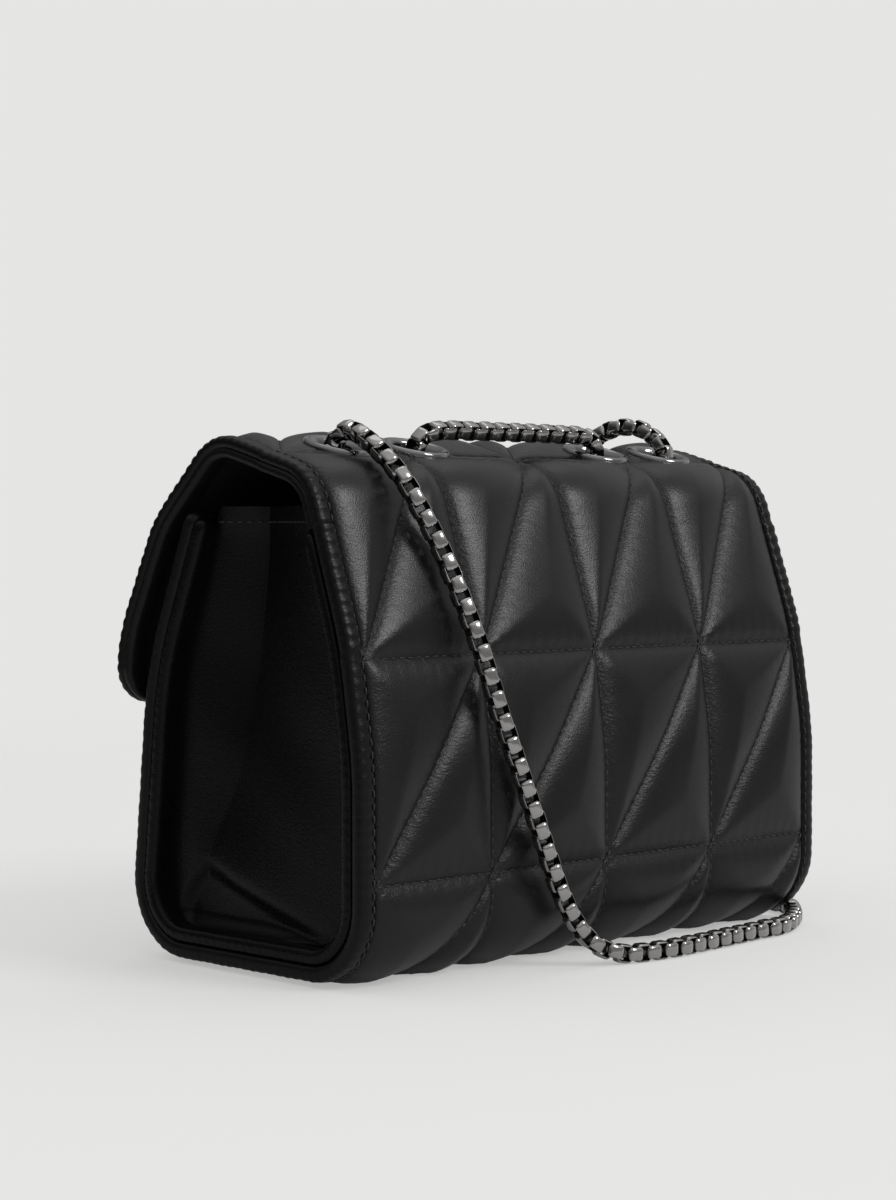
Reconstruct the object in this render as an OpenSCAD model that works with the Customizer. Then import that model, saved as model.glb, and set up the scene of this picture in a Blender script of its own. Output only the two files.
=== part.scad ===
// Small quilted shoulder bag with a fold-over flap, folded end gussets and a
// square box chain threaded through four eyelets.
// X runs along the width, the flap hangs down on the -Y side, the back panel
// faces +Y, and the bag stands on the plane z = 0 with its middle at x = y = 0.

/* [Bag] */
// Width over the two bound ends
bag_w = 210; // [190:1:230]
// Depth from the flap's front to the back panel
bag_d = 118; // [108:1:126]
// Height of the crest over the base
bag_h = 163.5; // [155:0.5:175]
// Height of the back crease that the flap turns on, over the bag's height
hinge_share = 0.833; // [0.8:0.001:0.85]
// Height of the front panel's top edge, over the bag's height
mouth_share = 0.8624; // [0.83:0.0002:0.8624]
// Radius of the rounded edges along the base
base_r = 25; // [18:1:28]

/* [Layers] */
// Thickness of the padded quilted panels
quilt_t = 5.5; // [4.5:0.1:6]
// Thickness of the stiffening boards in the body
board_t = 1.2; // [0.8:0.1:1.5]
// Thickness of the lining
lining_t = 0.8; // [0.6:0.1:1]
// Width of the bound edges
binding_w = 6; // [4:0.5:8]
// Thickness of the bound edges of the body
binding_t = 4.4; // [3:0.1:5]
// How far the bound edges lie below the top of the padding
binding_step = 2; // [1:0.1:2.5]

/* [Quilting] */
// Depth of the sewn seams below the crowns of the padding
seam_drop = 2.2; // [1.2:0.1:2.3]
// Distance from a seam over which the padding rises most
seam_reach = 5.5; // [4:0.5:9]

/* [Flap] */
// Height of the flap's lip, over the bag's height
lip_share = 0.4832; // [0.43:0.0002:0.51]
// Corner radius of the lip
lip_r = 12; // [8:1:16]
// Radius of the bends on both sides of the crest
crest_r = 20; // [16:0.5:20]
// Thickness of the stiffening board in the flap
flap_board_t = 1; // [0.8:0.1:1.2]
// Thickness of the flap's bound edge
flap_edge_t = 6; // [5:0.1:6.3]

/* [Gussets] */
// Thickness of the folded end panels
gusset_t = 1.4; // [1:0.1:2]
// Thickness of their turned seam edge
gusset_edge_t = 4.4; // [3:0.1:5]
// How far the end panels are set back from the ends
gusset_recess = 8; // [7:0.5:12]
// Depth of the inward fold at the mouth
fold_d = 10; // [6:0.5:14]
// Height of the end panels' top hem, over the bag's height
hem_share = 0.85; // [0.81:0.001:0.855]

/* [Eyelets] */
// Outer diameter of an eyelet
eyelet_od = 22.5; // [20:0.5:23]
// Clear bore of an eyelet
eyelet_bore = 14.5; // [13:0.5:15]
// Height of the eyelet's rolled rim
eyelet_rim = 1.8; // [1.2:0.1:2.4]
// Wall of the eyelet's barrel
eyelet_wall = 0.7; // [0.5:0.1:1]
// Distance from the middle of the bag to an inner eyelet, over the bag's width
eyelet_inner_share = 0.2; // [0.18:0.001:0.22]
// The same for an outer eyelet
eyelet_outer_share = 0.3524; // [0.33:0.0002:0.37]
// Diameter of the washer that backs an eyelet
washer_od = 20; // [19.5:0.5:20.5]
// Thickness of that washer
washer_t = 0.8; // [0.5:0.1:1.2]

/* [Chain] */
// Width of the box chain
chain_d = 6; // [5:0.2:6]

/* [Closure] */
// Diameter of the two hidden magnets
magnet_d = 14; // [10:1:15]
// Thickness of a magnet
magnet_t = 2; // [1.5:0.1:2.2]
// Distance between the magnets and the inner edge of the lip's bound edge
magnet_lift = 1; // [0.5:0.5:10]

/* [Pocket] */
// Width of the slip pocket on the back lining
pocket_w = 130; // [80:5:160]
// Height of its lower edge, over the bag's height
pocket_low_share = 0.257; // [0.2:0.001:0.35]
// Height of the pocket itself
pocket_h = 70; // [50:1:80]

/* [Hidden] */

// Clearance between pieces that move apart
part_gap = 0.3;
// Play round the eyelet barrels and the magnets
fit_gap = 0.1;
// Overrun of cuts
cut_over = 2;
// Smallest inner radius of the lip's corners
lip_min_r = 2;
// Facets of a lip corner, of a rolled rim and of a round hole
lip_facets = 6;
rim_facets = 10;
round_facets = 48;
// Turn of one facet of a rounded bend, in degrees
bend_step = 7;

// Side outline of the bag, from the front panel's top edge down, along the
// base, up the back, over the crest and down to the lip. A corner is its depth
// place as a share of bag_d, its height as a share of bag_h, and its radius.
belly_r = 120;
brow_r = 42;
cheek_r = 50;
front_shares = [[-0.202, mouth_share], [-0.373, 0.563]];
base_shares = [[-0.451, 0], [0.5, 0]];
back_shares = [[0.5, 0.404], [0.453, 0.618]];
crease_share = 0.351;
crest_shares = [[0.302, 0.938], [-0.017, 1], [-0.111, 1]];
flap_shares = [[-0.339, 0.845], [-0.5, 0.6055], [-0.5, lip_share]];

function corners(shares, radii) = [
    for (i = [0:len(shares) - 1]) [shares[i][0] * bag_d, shares[i][1] * bag_h, radii[i]]
];
front_corners = corners(front_shares, [0, belly_r]);
base_corners = corners(base_shares, [base_r, base_r]);
back_corners = corners(back_shares, [belly_r, belly_r]);
crease_corner = corners([[crease_share, hinge_share]], [0]);
crest_corners = corners(crest_shares, [crest_r, crest_r, crest_r]);
flap_corners = corners(flap_shares, [brow_r, cheek_r, 0]);
side_corners = concat(
    front_corners, base_corners, back_corners, crease_corner, crest_corners, flap_corners
);

function unit(v) = v / norm(v);
function place(corner) = [corner[0], corner[1]];
function turned(v, a) = [v[0] * cos(a) - v[1] * sin(a), v[0] * sin(a) + v[1] * cos(a)];

// Turn of the outline at a corner, and the room its rounding takes on each side
function side_way(k) = unit(place(side_corners[k + 1]) - place(side_corners[k]));
function turn_at(k) = side_corners[k][2] == 0 ? 0 : acos(side_way(k - 1) * side_way(k));
function room_at(k) = side_corners[k][2] * tan(turn_at(k) / 2);

// Share of its stated radius that a rounding keeps, so that a short straight is
// left between it and the rounding of its neighbour
straight_min = 0.5;
function side_fit(k) =
    let (
        needed = room_at(k) + room_at(k + 1),
        room = norm(place(side_corners[k + 1]) - place(side_corners[k])) - straight_min
    ) needed > room ? room / needed : 1;

// Points of one corner of the outline: the corner itself, or the arc that rounds it
function corner_points(k) =
    side_corners[k][2] == 0 ? [place(side_corners[k])]
    : let (
        p = place(side_corners[k]),
        u = -side_way(k - 1),
        v = side_way(k),
        bend = turn_at(k),
        r = side_corners[k][2] * min(side_fit(k - 1), side_fit(k)),
        centre = p + unit(u + v) * r / cos(bend / 2),
        start = p + u * r * tan(bend / 2) - centre,
        way = u[0] * v[1] - u[1] * v[0] < 0 ? 1 : -1,
        steps = max(2, ceil(bend / bend_step))
    ) [for (i = [0:steps]) centre + turned(start, way * bend * i / steps)];

function line_points(first, last) = [for (k = [first:last]) each corner_points(k)];
side_line = line_points(0, len(side_corners) - 1);
pivot_i = len(line_points(0, len(front_corners) - 1));
sole_i = len(line_points(0, len(front_corners) + len(base_corners) - 1)) - 1;
under_i = floor((pivot_i + sole_i) / 2);
hinge_i = sole_i + 1 + len(line_points(
    len(front_corners) + len(base_corners),
    len(side_corners) - len(flap_corners) - len(crest_corners) - 2
));
lip_i = len(side_line) - 1;

// Side outline moved inwards by a depth, point for point
function inward(d) = [-d[1], d[0]];
function step_way(i) = unit(side_line[i + 1] - side_line[i]);
function depth_point(i, depth) =
    let (
        a = inward(step_way(max(i - 1, 0))),
        b = inward(step_way(min(i, lip_i - 1)))
    ) side_line[i] + depth * (a + b) / (1 + a * b);

// Outline points first to last at one depth, the two ends trimmed along the line
function layer_line(first, last, depth, trim_first, trim_last) = [
    for (i = [first:last]) depth_point(i, depth)
        + (i == first ? trim_first * step_way(first) : [0, 0])
        - (i == last ? trim_last * step_way(last - 1) : [0, 0])
];
function reversed(list) = [for (i = [len(list) - 1:-1:0]) list[i]];

// A layer of the side outline between two depths, width w along X
module layer(first, last, depth_a, depth_b, w, trim_first = 0, trim_last = 0) {
    rotate([90, 0, 90])
        linear_extrude(height = w, center = true)
            polygon(concat(
                layer_line(first, last, depth_a, trim_first, trim_last),
                reversed(layer_line(first, last, depth_b, trim_first, trim_last))
            ));
}

// The same layer as a strip of width w at the +X end of the bag
module end_layer(first, last, depth_a, depth_b, w, trim_first = 0, trim_last = 0) {
    translate([bag_w / 2 - w / 2, 0, 0])
        layer(first, last, depth_a, depth_b, w, trim_first, trim_last);
}

module both_ends() {
    children();
    mirror([1, 0, 0]) children();
}

// Depths of the layers
board_in = quilt_t + board_t;
lining_in = board_in + lining_t;
flap_board_in = quilt_t + flap_board_t;
flap_in = flap_board_in + lining_t;
binding_in = binding_step + binding_t;
flap_edge_in = binding_step + flap_edge_t;
gusset_edge_out = binding_in + part_gap;
gusset_edge_in = gusset_edge_out + gusset_edge_t;
half_gap = part_gap / 2;

// Widths of the layers
panel_w = bag_w - 2 * binding_w;
inner_w = bag_w - 2 * gusset_recess - 2 * part_gap;

// Outline of the flap as seen from the front, drawn in by inset
module flap_plate(inset) {
    half_w = bag_w / 2 - inset;
    corner_r = max(lip_r - inset, lip_min_r);
    low = lip_share * bag_h + inset;
    rounding = [
        for (i = [0:lip_facets])
            let (a = 90 * i / lip_facets)
                [half_w - corner_r + corner_r * sin(a), low + corner_r - corner_r * cos(a)]
    ];
    rotate([90, 0, 0])
        linear_extrude(height = 2 * bag_d, center = true)
            polygon(concat(
                rounding,
                [[half_w, 2 * bag_h], [-half_w, 2 * bag_h]],
                [for (p = reversed(rounding)) [-p[0], p[1]]]
            ));
}

// Flat stretch of the crest that the eyelets sit on
seat_a = place(crest_corners[0]);
seat_b = place(crest_corners[1]);
seat_way = unit(seat_b - seat_a);
seat_tilt = atan2(seat_way[1], -seat_way[0]);
eyelet_place_share = 0.41;
eyelet_at = seat_b + (seat_a - seat_b) * eyelet_place_share;
eyelet_inner = eyelet_inner_share * bag_w;
eyelet_outer = eyelet_outer_share * bag_w;

// Puts children at an eyelet, their Z axis along the eyelet's axis
module at_eyelet(x) {
    translate([x, eyelet_at[0], eyelet_at[1]]) rotate([-seat_tilt, 0, 0]) children();
}

barrel_r = eyelet_bore / 2 + eyelet_wall;
module eyelet_holes() {
    for (x = [eyelet_outer, eyelet_inner, -eyelet_inner, -eyelet_outer])
        at_eyelet(x)
            cylinder(h = 4 * flap_in, r = barrel_r + fit_gap, center = true, $fn = round_facets);
}

// Quilting. Seams run across the bag at places along the outline, each a share
// of its whole length, and up the bag at places across it, each a share of
// panel_w. In every cell one more seam slants from the right end of its first row
// to the left end of the next.
quilt_row_shares = [0.0112, 0.0882, 0.2123, 0.352, 0.4917, 0.6153, 0.7583, 0.8754, 0.9888];
quilt_column_shares = [-0.5, -0.2576, 0, 0.2576, 0.5];
// Grid lines of a cell from one row to the next, and on each side of its slanted
// seam, which keeps a small share of the cell beside it at its ends.
cell_row_shares = [0.1, 0.28, 0.5, 0.72, 0.9, 1];
cell_side_shares = [0.3, 0.7, 1];
slant_share = 0.04;
// Least distance between two grid lines along the outline, and from a panel's end
// to a bend of the outline
grid_min = 0.8;
bend_min = 0.1;
// Width of the ring round an eyelet in which the quilting flattens out
seat_ease = 8;

side_lengths = [
    for (i = 0, l = 0; i <= lip_i;
        i = i + 1, l = i <= lip_i ? l + norm(side_line[i] - side_line[i - 1]) : l) l
];
quilt_rows = [for (share = quilt_row_shares) share * side_lengths[lip_i]];
quilt_lines = concat([quilt_rows[0]], [
    for (r = [0:len(quilt_rows) - 2]) for (share = cell_row_shares)
        quilt_rows[r] + share * (quilt_rows[r + 1] - quilt_rows[r])
]);
eyelet_length = lookup(-eyelet_at[0], [
    for (i = [hinge_i:lip_i - 1]) [-side_line[i][0], side_lengths[i]]
]);

function clamped(v) = min(max(v, 0), 1);

// Rows of a panel's grid: the bends of the outline and the grid lines between them
function panel_rows(first, last) = concat(
    [first],
    [for (i = [0:lip_i - 1]) each concat(
        side_lengths[i] > first + bend_min && side_lengths[i] < last - bend_min
            ? [side_lengths[i]] : [],
        [for (s = quilt_lines)
            if (s > max(side_lengths[i], first) + grid_min
                && s < min(side_lengths[i + 1], last) - grid_min) s]
    )],
    [last]
);

// Depth of the quilted skin at a share u across and a share v up a cell of w by h
function seam_depth(u, v, w, h) =
    let (
        slant = abs(u + v - 1) * w * h / norm([w, h]),
        distance = min(u * w, (1 - u) * w, v * h, (1 - v) * h, slant)
    ) seam_drop * exp(-distance / seam_reach);

function eyelet_ease(x, s) = min([
    for (e = [eyelet_outer, eyelet_inner, -eyelet_inner, -eyelet_outer])
        clamped((norm([x - e, s - eyelet_length]) - eyelet_od / 2) / seat_ease)
]);

// Points across the panel at one place along the outline, each [x, depth]
function quilt_row(s) =
    let (
        r = max(concat([0], [for (i = [0:len(quilt_rows) - 2]) if (s >= quilt_rows[i]) i])),
        h = quilt_rows[r + 1] - quilt_rows[r],
        v = clamped((s - quilt_rows[r]) / h),
        slant_u = min(max(1 - v, slant_share), 1 - slant_share),
        us = concat(
            [for (share = cell_side_shares) share * slant_u],
            [for (share = cell_side_shares) slant_u + share * (1 - slant_u)]
        )
    ) concat(
        [[quilt_column_shares[0] * panel_w, seam_drop]],
        [for (c = [0:len(quilt_column_shares) - 2])
            let (
                x = quilt_column_shares[c] * panel_w,
                w = quilt_column_shares[c + 1] * panel_w - x
            )
                for (u = us)
                    [x + u * w, seam_depth(u, v, w, h) * eyelet_ease(x + u * w, s)]]
    );

// Padded panel between two lengths along the outline, from the quilted skin down
// to the depth of the padding
module quilted_layer(first, last) {
    rows = panel_rows(first, last);
    n = 1 + 2 * len(cell_side_shares) * (len(quilt_column_shares) - 1);
    skin_y = [for (i = [0:lip_i]) [side_lengths[i], side_line[i][0]]];
    skin_z = [for (i = [0:lip_i]) [side_lengths[i], side_line[i][1]]];
    inner_y = [for (i = [0:lip_i]) [side_lengths[i], depth_point(i, quilt_t)[0]]];
    inner_z = [for (i = [0:lip_i]) [side_lengths[i], depth_point(i, quilt_t)[1]]];
    outer = [
        for (s = rows)
            let (
                a = [lookup(s, skin_y), lookup(s, skin_z)],
                b = [lookup(s, inner_y), lookup(s, inner_z)]
            )
                for (point = quilt_row(s))
                    let (p = a + (b - a) * point[1] / quilt_t) [point[0], p[0], p[1]]
    ];
    inner = [
        for (s = rows) for (point = quilt_row(s)) [point[0], lookup(s, inner_y), lookup(s, inner_z)]
    ];
    m = len(outer);
    end = (len(rows) - 1) * n;
    faces = concat(
        [for (r = [0:len(rows) - 2]) for (c = [0:n - 2])
            let (a = r * n + c) each [
                [a, a + 1, a + n + 1], [a, a + n + 1, a + n],
                [m + a, m + a + n + 1, m + a + 1], [m + a, m + a + n, m + a + n + 1]
            ]],
        [for (c = [0:n - 2])
            let (a = c, b = end + c) each [
                [a + 1, a, m + a], [a + 1, m + a, m + a + 1],
                [b, b + 1, m + b + 1], [b, m + b + 1, m + b]
            ]],
        [for (r = [0:len(rows) - 2])
            let (a = r * n, b = r * n + n - 1) each [
                [a, a + n, m + a + n], [a, m + a + n, m + a],
                [b + n, b, m + b], [b + n, m + b, m + b + n]
            ]]
    );
    polyhedron(points = concat(outer, inner), faces = faces);
}

// Body panels, boards and linings
module back_panel() {
    color([0.07, 0.07, 0.07])
        quilted_layer(side_lengths[sole_i], side_lengths[hinge_i] - half_gap);
}

module bottom_panel() {
    color([0.07, 0.07, 0.07])
        layer(pivot_i, sole_i, 0, quilt_t, panel_w, half_gap, 0);
}

module back_board() {
    color([0.55, 0.5, 0.42])
        layer(sole_i, hinge_i, quilt_t, board_in, inner_w, 0, half_gap);
}

module base_board() {
    color([0.55, 0.5, 0.42])
        layer(pivot_i, sole_i, quilt_t, board_in, inner_w, half_gap, 0);
}

module back_lining() {
    color([0.12, 0.12, 0.12])
        layer(sole_i, hinge_i, board_in, lining_in, inner_w, 0, half_gap);
}

module bottom_lining() {
    color([0.12, 0.12, 0.12])
        layer(pivot_i, sole_i, board_in, lining_in, inner_w, half_gap, 0);
}

// Slip pocket, one sheet lying flat on the back lining
module slip_pocket() {
    color([0.13, 0.13, 0.13])
        intersection() {
            layer(sole_i, hinge_i, lining_in, lining_in + lining_t, pocket_w);
            translate([-bag_w / 2, 0, pocket_low_share * bag_h])
                cube([bag_w, bag_d, pocket_h]);
        }
}

// Bound edge round the base and back at one end
module body_binding() {
    color([0.05, 0.05, 0.05])
        end_layer(pivot_i, hinge_i, binding_step, binding_in, binding_w, half_gap, half_gap);
}
module body_binding_right() { body_binding(); }
module body_binding_left() { mirror([1, 0, 0]) body_binding(); }

// Front panel with its board, lining and bound edges
module front_panel() {
    color([0.07, 0.07, 0.07])
        difference() {
            quilted_layer(binding_w + half_gap, side_lengths[pivot_i] - half_gap);
            magnet_pocket(front_face);
        }
}

module front_board() {
    color([0.55, 0.5, 0.42])
        layer(0, pivot_i, quilt_t, board_in, inner_w, binding_w, half_gap);
}

module front_lining() {
    color([0.12, 0.12, 0.12])
        layer(0, pivot_i, board_in, lining_in, inner_w, binding_w, half_gap);
}

// Bound top edge of the front panel, between binding_step and a depth
module front_top_band(depth, w) {
    drop = binding_w * step_way(0);
    rotate([90, 0, 90])
        linear_extrude(height = w, center = true)
            polygon([
                depth_point(0, binding_step), depth_point(0, binding_step) + drop,
                depth_point(0, depth) + drop, depth_point(0, depth)
            ]);
}

module front_binding() {
    color([0.05, 0.05, 0.05])
        union() {
            both_ends()
                end_layer(0, pivot_i, binding_step, binding_in, binding_w, 0, half_gap);
            front_top_band(binding_in, bag_w);
            front_top_band(lining_in, bag_w - 2 * gusset_recess);
        }
}

// Hidden magnets, each in a pocket in the padding, just clear of the board under
// it and parallel to the chord of the skin over its two ends. A face is a table
// of outline points, height first.
magnet_z = lip_share * bag_h + binding_w + magnet_lift + magnet_d / 2;
front_face = [for (p = layer_line(0, pivot_i, 0, 0, 0)) [p[1], p[0]]];
flap_face = [for (i = [hinge_i + 1:lip_i]) if (side_line[i][0] < crest_corners[2][0])
    [side_line[i][1], side_line[i][0]]];

module at_magnet(face, lift) {
    low = lookup(magnet_z - magnet_d / 2, face);
    high = lookup(magnet_z + magnet_d / 2, face);
    bow = (low + high) / 2 - lookup(magnet_z, face);
    translate([0, (low + high) / 2, magnet_z])
        rotate([-90 - atan2(high - low, magnet_d), 0, 0])
            translate([0, 0, quilt_t - part_gap - bow - magnet_t - lift])
                children();
}

module magnet_disc(face) {
    color([0.6, 0.6, 0.62])
        at_magnet(face, 0) cylinder(h = magnet_t, d = magnet_d, $fn = round_facets);
}

module magnet_pocket(face) {
    at_magnet(face, fit_gap)
        cylinder(h = quilt_t, d = magnet_d + 2 * fit_gap, $fn = round_facets);
}

module front_magnet() { magnet_disc(front_face); }
module flap_magnet() { magnet_disc(flap_face); }

// Flap: padded panel, board and lining inside a bound edge
module flap_cut() {
    difference() {
        intersection() {
            children();
            flap_plate(binding_w);
        }
        eyelet_holes();
    }
}

module flap_sheet(depth_a, depth_b) {
    flap_cut() layer(hinge_i, lip_i, depth_a, depth_b, panel_w, half_gap, 0);
}

module flap_panel() {
    color([0.07, 0.07, 0.07])
        difference() {
            flap_cut() quilted_layer(side_lengths[hinge_i] + half_gap, side_lengths[lip_i]);
            magnet_pocket(flap_face);
        }
}

module flap_board() {
    color([0.55, 0.5, 0.42]) flap_sheet(quilt_t, flap_board_in);
}

module flap_lining() {
    color([0.12, 0.12, 0.12]) flap_sheet(flap_board_in, flap_in);
}

module flap_binding() {
    color([0.05, 0.05, 0.05])
        difference() {
            intersection() {
                layer(hinge_i, lip_i, binding_step, flap_edge_in, bag_w, half_gap, 0);
                flap_plate(0);
            }
            flap_plate(binding_w);
        }
}

// Eyelets: a rolled rim over the panel and a barrel down through the flap
module eyelet(x) {
    rim_half = (eyelet_od - eyelet_bore) / 4;
    rim_middle = eyelet_bore / 2 + rim_half;
    barrel_end = -flap_in - washer_t - eyelet_wall;
    color([0.32, 0.32, 0.34])
        at_eyelet(x)
            rotate_extrude($fn = round_facets)
                polygon(concat(
                    [[eyelet_bore / 2, barrel_end], [barrel_r, barrel_end], [barrel_r, 0]],
                    [
                        for (i = [0:rim_facets])
                            let (a = 180 * i / rim_facets)
                                [rim_middle + rim_half * cos(a), eyelet_rim * sin(a)]
                    ]
                ));
}
module eyelet_right_outer() { eyelet(eyelet_outer); }
module eyelet_right_inner() { eyelet(eyelet_inner); }
module eyelet_left_inner() { eyelet(-eyelet_inner); }
module eyelet_left_outer() { eyelet(-eyelet_outer); }

module washer(x) {
    color([0.4, 0.4, 0.42])
        at_eyelet(x)
            translate([0, 0, -flap_in - washer_t])
                difference() {
                    cylinder(h = washer_t, d = washer_od, $fn = round_facets);
                    translate([0, 0, -cut_over])
                        cylinder(
                            h = washer_t + 2 * cut_over, r = barrel_r + fit_gap, $fn = round_facets
                        );
                }
}
module washer_right_outer() { washer(eyelet_outer); }
module washer_right_inner() { washer(eyelet_inner); }
module washer_left_inner() { washer(-eyelet_inner); }
module washer_left_outer() { washer(-eyelet_outer); }

// Folded end panels. Rows are heights from the base to the hem, as shares of the
// way up, each with its share of the fold's full depth and the place of the
// crease, from the front edge to the back edge.
gusset_row_shares = [
    [0, 0, 0.15], [0.03, 0, 0.16], [0.08, 0.02, 0.18], [0.16, 0.08, 0.2], [0.28, 0.25, 0.26],
    [0.36, 0.4, 0.33], [0.5, 0.6, 0.35], [0.65, 0.8, 0.365], [0.85, 0.95, 0.34], [1, 1, 0.27]
];
// Columns run from the front edge (-1) over the crease (0) to the back edge (1),
// each with the share of the fold's depth that is reached there.
gusset_column_shares = [
    [-1, 0], [-0.6, 0.3], [-0.25, 0.75], [0, 1], [0.25, 0.75], [0.6, 0.3], [1, 0]
];
gusset_seam_in = 0.5;
hem_reach = 10;

// Sheet with its outer face set back by recess and its edges at one depth
function gusset_points(recess, depth) =
    let (
        front_top = depth_point(0, depth) - hem_reach * step_way(0),
        front_line = concat([front_top], [for (i = [0:under_i]) depth_point(i, depth)]),
        front = [for (p = front_line) [p[1], p[0]]],
        back = [for (i = [under_i + 1:hinge_i + 1])
            let (p = depth_point(i, depth)) [p[1], p[0]]]
    ) [
        for (row = gusset_row_shares)
            for (column = gusset_column_shares)
                let (
                    z = depth + (hem_share * bag_h - depth) * row[0],
                    y_front = lookup(z, front),
                    y_back = lookup(z, back),
                    crease = y_front + (y_back - y_front) * row[2]
                )
                    [
                        bag_w / 2 - recess - fold_d * row[1] * column[1],
                        crease + column[0] * (column[0] < 0 ? crease - y_front : y_back - crease),
                        z
                    ]
    ];

module gusset_sheet(recess, depth, t) {
    columns = len(gusset_column_shares);
    rows = len(gusset_row_shares);
    outer = gusset_points(recess, depth);
    inner = [for (p = outer) p - [t, 0, 0]];
    n = len(outer);
    faces = concat(
        [for (r = [0:rows - 2]) for (c = [0:columns - 2])
            let (a = r * columns + c) each [
                [a, a + columns, a + columns + 1], [a, a + columns + 1, a + 1],
                [n + a, n + a + 1, n + a + columns + 1],
                [n + a, n + a + columns + 1, n + a + columns]
            ]],
        [for (c = [0:columns - 2])
            let (a = c, b = (rows - 1) * columns + c) each [
                [a, a + 1, n + a + 1], [a, n + a + 1, n + a],
                [b, n + b, n + b + 1], [b, n + b + 1, b + 1]
            ]],
        [for (r = [0:rows - 2])
            let (a = r * columns, b = r * columns + columns - 1) each [
                [a, n + a, n + a + columns], [a, n + a + columns, a + columns],
                [b, b + columns, n + b + columns], [b, n + b + columns, n + b]
            ]]
    );
    polyhedron(points = concat(outer, inner), faces = faces);
}

module gusset() {
    color([0.06, 0.06, 0.06])
        union() {
            end_layer(0, hinge_i, gusset_edge_out, gusset_edge_in, gusset_recess, 0, half_gap);
            gusset_sheet(gusset_recess - gusset_t, gusset_edge_in - gusset_seam_in, gusset_t);
        }
}
module gusset_right() { gusset(); }
module gusset_left() { mirror([1, 0, 0]) gusset(); }

module gusset_lining() {
    color([0.12, 0.12, 0.12])
        gusset_sheet(gusset_recess + part_gap, lining_in + part_gap, lining_t);
}
module gusset_lining_right() { gusset_lining(); }
module gusset_lining_left() { mirror([1, 0, 0]) gusset_lining(); }

// Chain: one closed loop of box chain, drawn in runs as round tubes. The free
// run starts in the right outer eyelet, falls over the back, lies along the
// floor and round the left end, and from there rises up the front to the left
// outer eyelet. Its places are shares of bag_w, bag_d and bag_h.
chain_sides = 8;
curve_steps = 2;
strap_shares = [
    [0.3524, 0.0847, 0.9541], [0.3524, 0.0975, 0.9817], [0.3533, 0.1483, 1.0049],
    [0.3586, 0.25, 0.9798], [0.3514, 0.3602, 0.9083], [0.3143, 0.428, 0.7798],
    [0.2857, 0.5, 0.6239], [0.2524, 0.5381, 0.4679], [0.2, 0.5508, 0.3058],
    [0.1476, 0.5525, 0.159], [0.1143, 0.5559, 0.0887], [0.0762, 0.572, 0.0398],
    [0.0286, 0.6017, 0.0196], [-0.0524, 0.6212, 0], [-0.1476, 0.6102, 0], [-0.2619, 0.589, 0],
    [-0.3524, 0.5763, 0], [-0.419, 0.5212, 0], [-0.4857, 0.4322, 0], [-0.5333, 0.339, 0],
    [-0.5619, 0.1525, 0], [-0.5667, -0.1695, 0], [-0.5429, -0.5085, 0], [-0.4524, -0.7458, 0],
    [-0.2857, -0.8305, 0], [-0.0857, -0.839, 0], [0.0571, -0.822, 0], [0.1381, -0.7161, 0],
    [0.0571, -0.6186, 0], [-0.0857, -0.6059, 0], [-0.1905, -0.6059, 0]
];
rise_shares = [
    [-0.192, -0.6059, 0], [-0.2524, -0.6059, 0], [-0.3238, -0.5932, 0.055],
    [-0.3524, -0.5678, 0.1957], [-0.3524, -0.5551, 0.4893], [-0.3524, -0.5127, 0.6728],
    [-0.3524, -0.4153, 0.8318], [-0.3524, -0.2712, 0.9511], [-0.3524, -0.0975, 1.0275],
    [-0.3524, 0.0339, 1.0349], [-0.3524, 0.1314, 0.9939], [-0.3524, 0.1271, 0.948]
];
// Rise of the short span's middle over the crest, and how far the free run hangs
// off the middle of the outer eyelets
span_rise = 6.5;
strap_aside = 2.5;
// Places of the short span: towards the middle of the bag as a share of
// eyelet_inner, then along the eyelet's axis as a share of span_rise.
span_shares = [
    [0, -1.85], [0, -0.6], [0.01, 0.15], [0.07, 0.69], [0.18, 0.92], [0.33, 0.985], [0.64, 1]
];
// Places under the flap: outwards as a share of the way from the inner to the
// outer eyelet, aside as a share of strap_aside, then along the axis as above.
underrun_shares = [
    [1, 1, -0.71], [1, 1, -1.39], [0.92, 0.9, -2.23], [0.72, 0.6, -2.85], [0.44, 0.3, -3],
    [0.19, 0, -2.9], [0.035, 0, -2.54], [0, 0, -2.12], [0, 0, -1.95]
];

function spline(a, b, c, d, t) =
    (2 * b + t * (c - a) + t * t * (2 * a - 5 * b + 4 * c - d)
        + t * t * t * (3 * b - 3 * c + d - a)) / 2;

// Smooth curve through the points of a route
function smooth(route) =
    let (n = len(route) - 1) concat(
        [for (i = [0:n - 1]) for (s = [0:curve_steps - 1]) spline(
            route[max(i - 1, 0)], route[i], route[i + 1], route[min(i + 2, n)], s / curve_steps
        )],
        [route[n]]
    );

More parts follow.
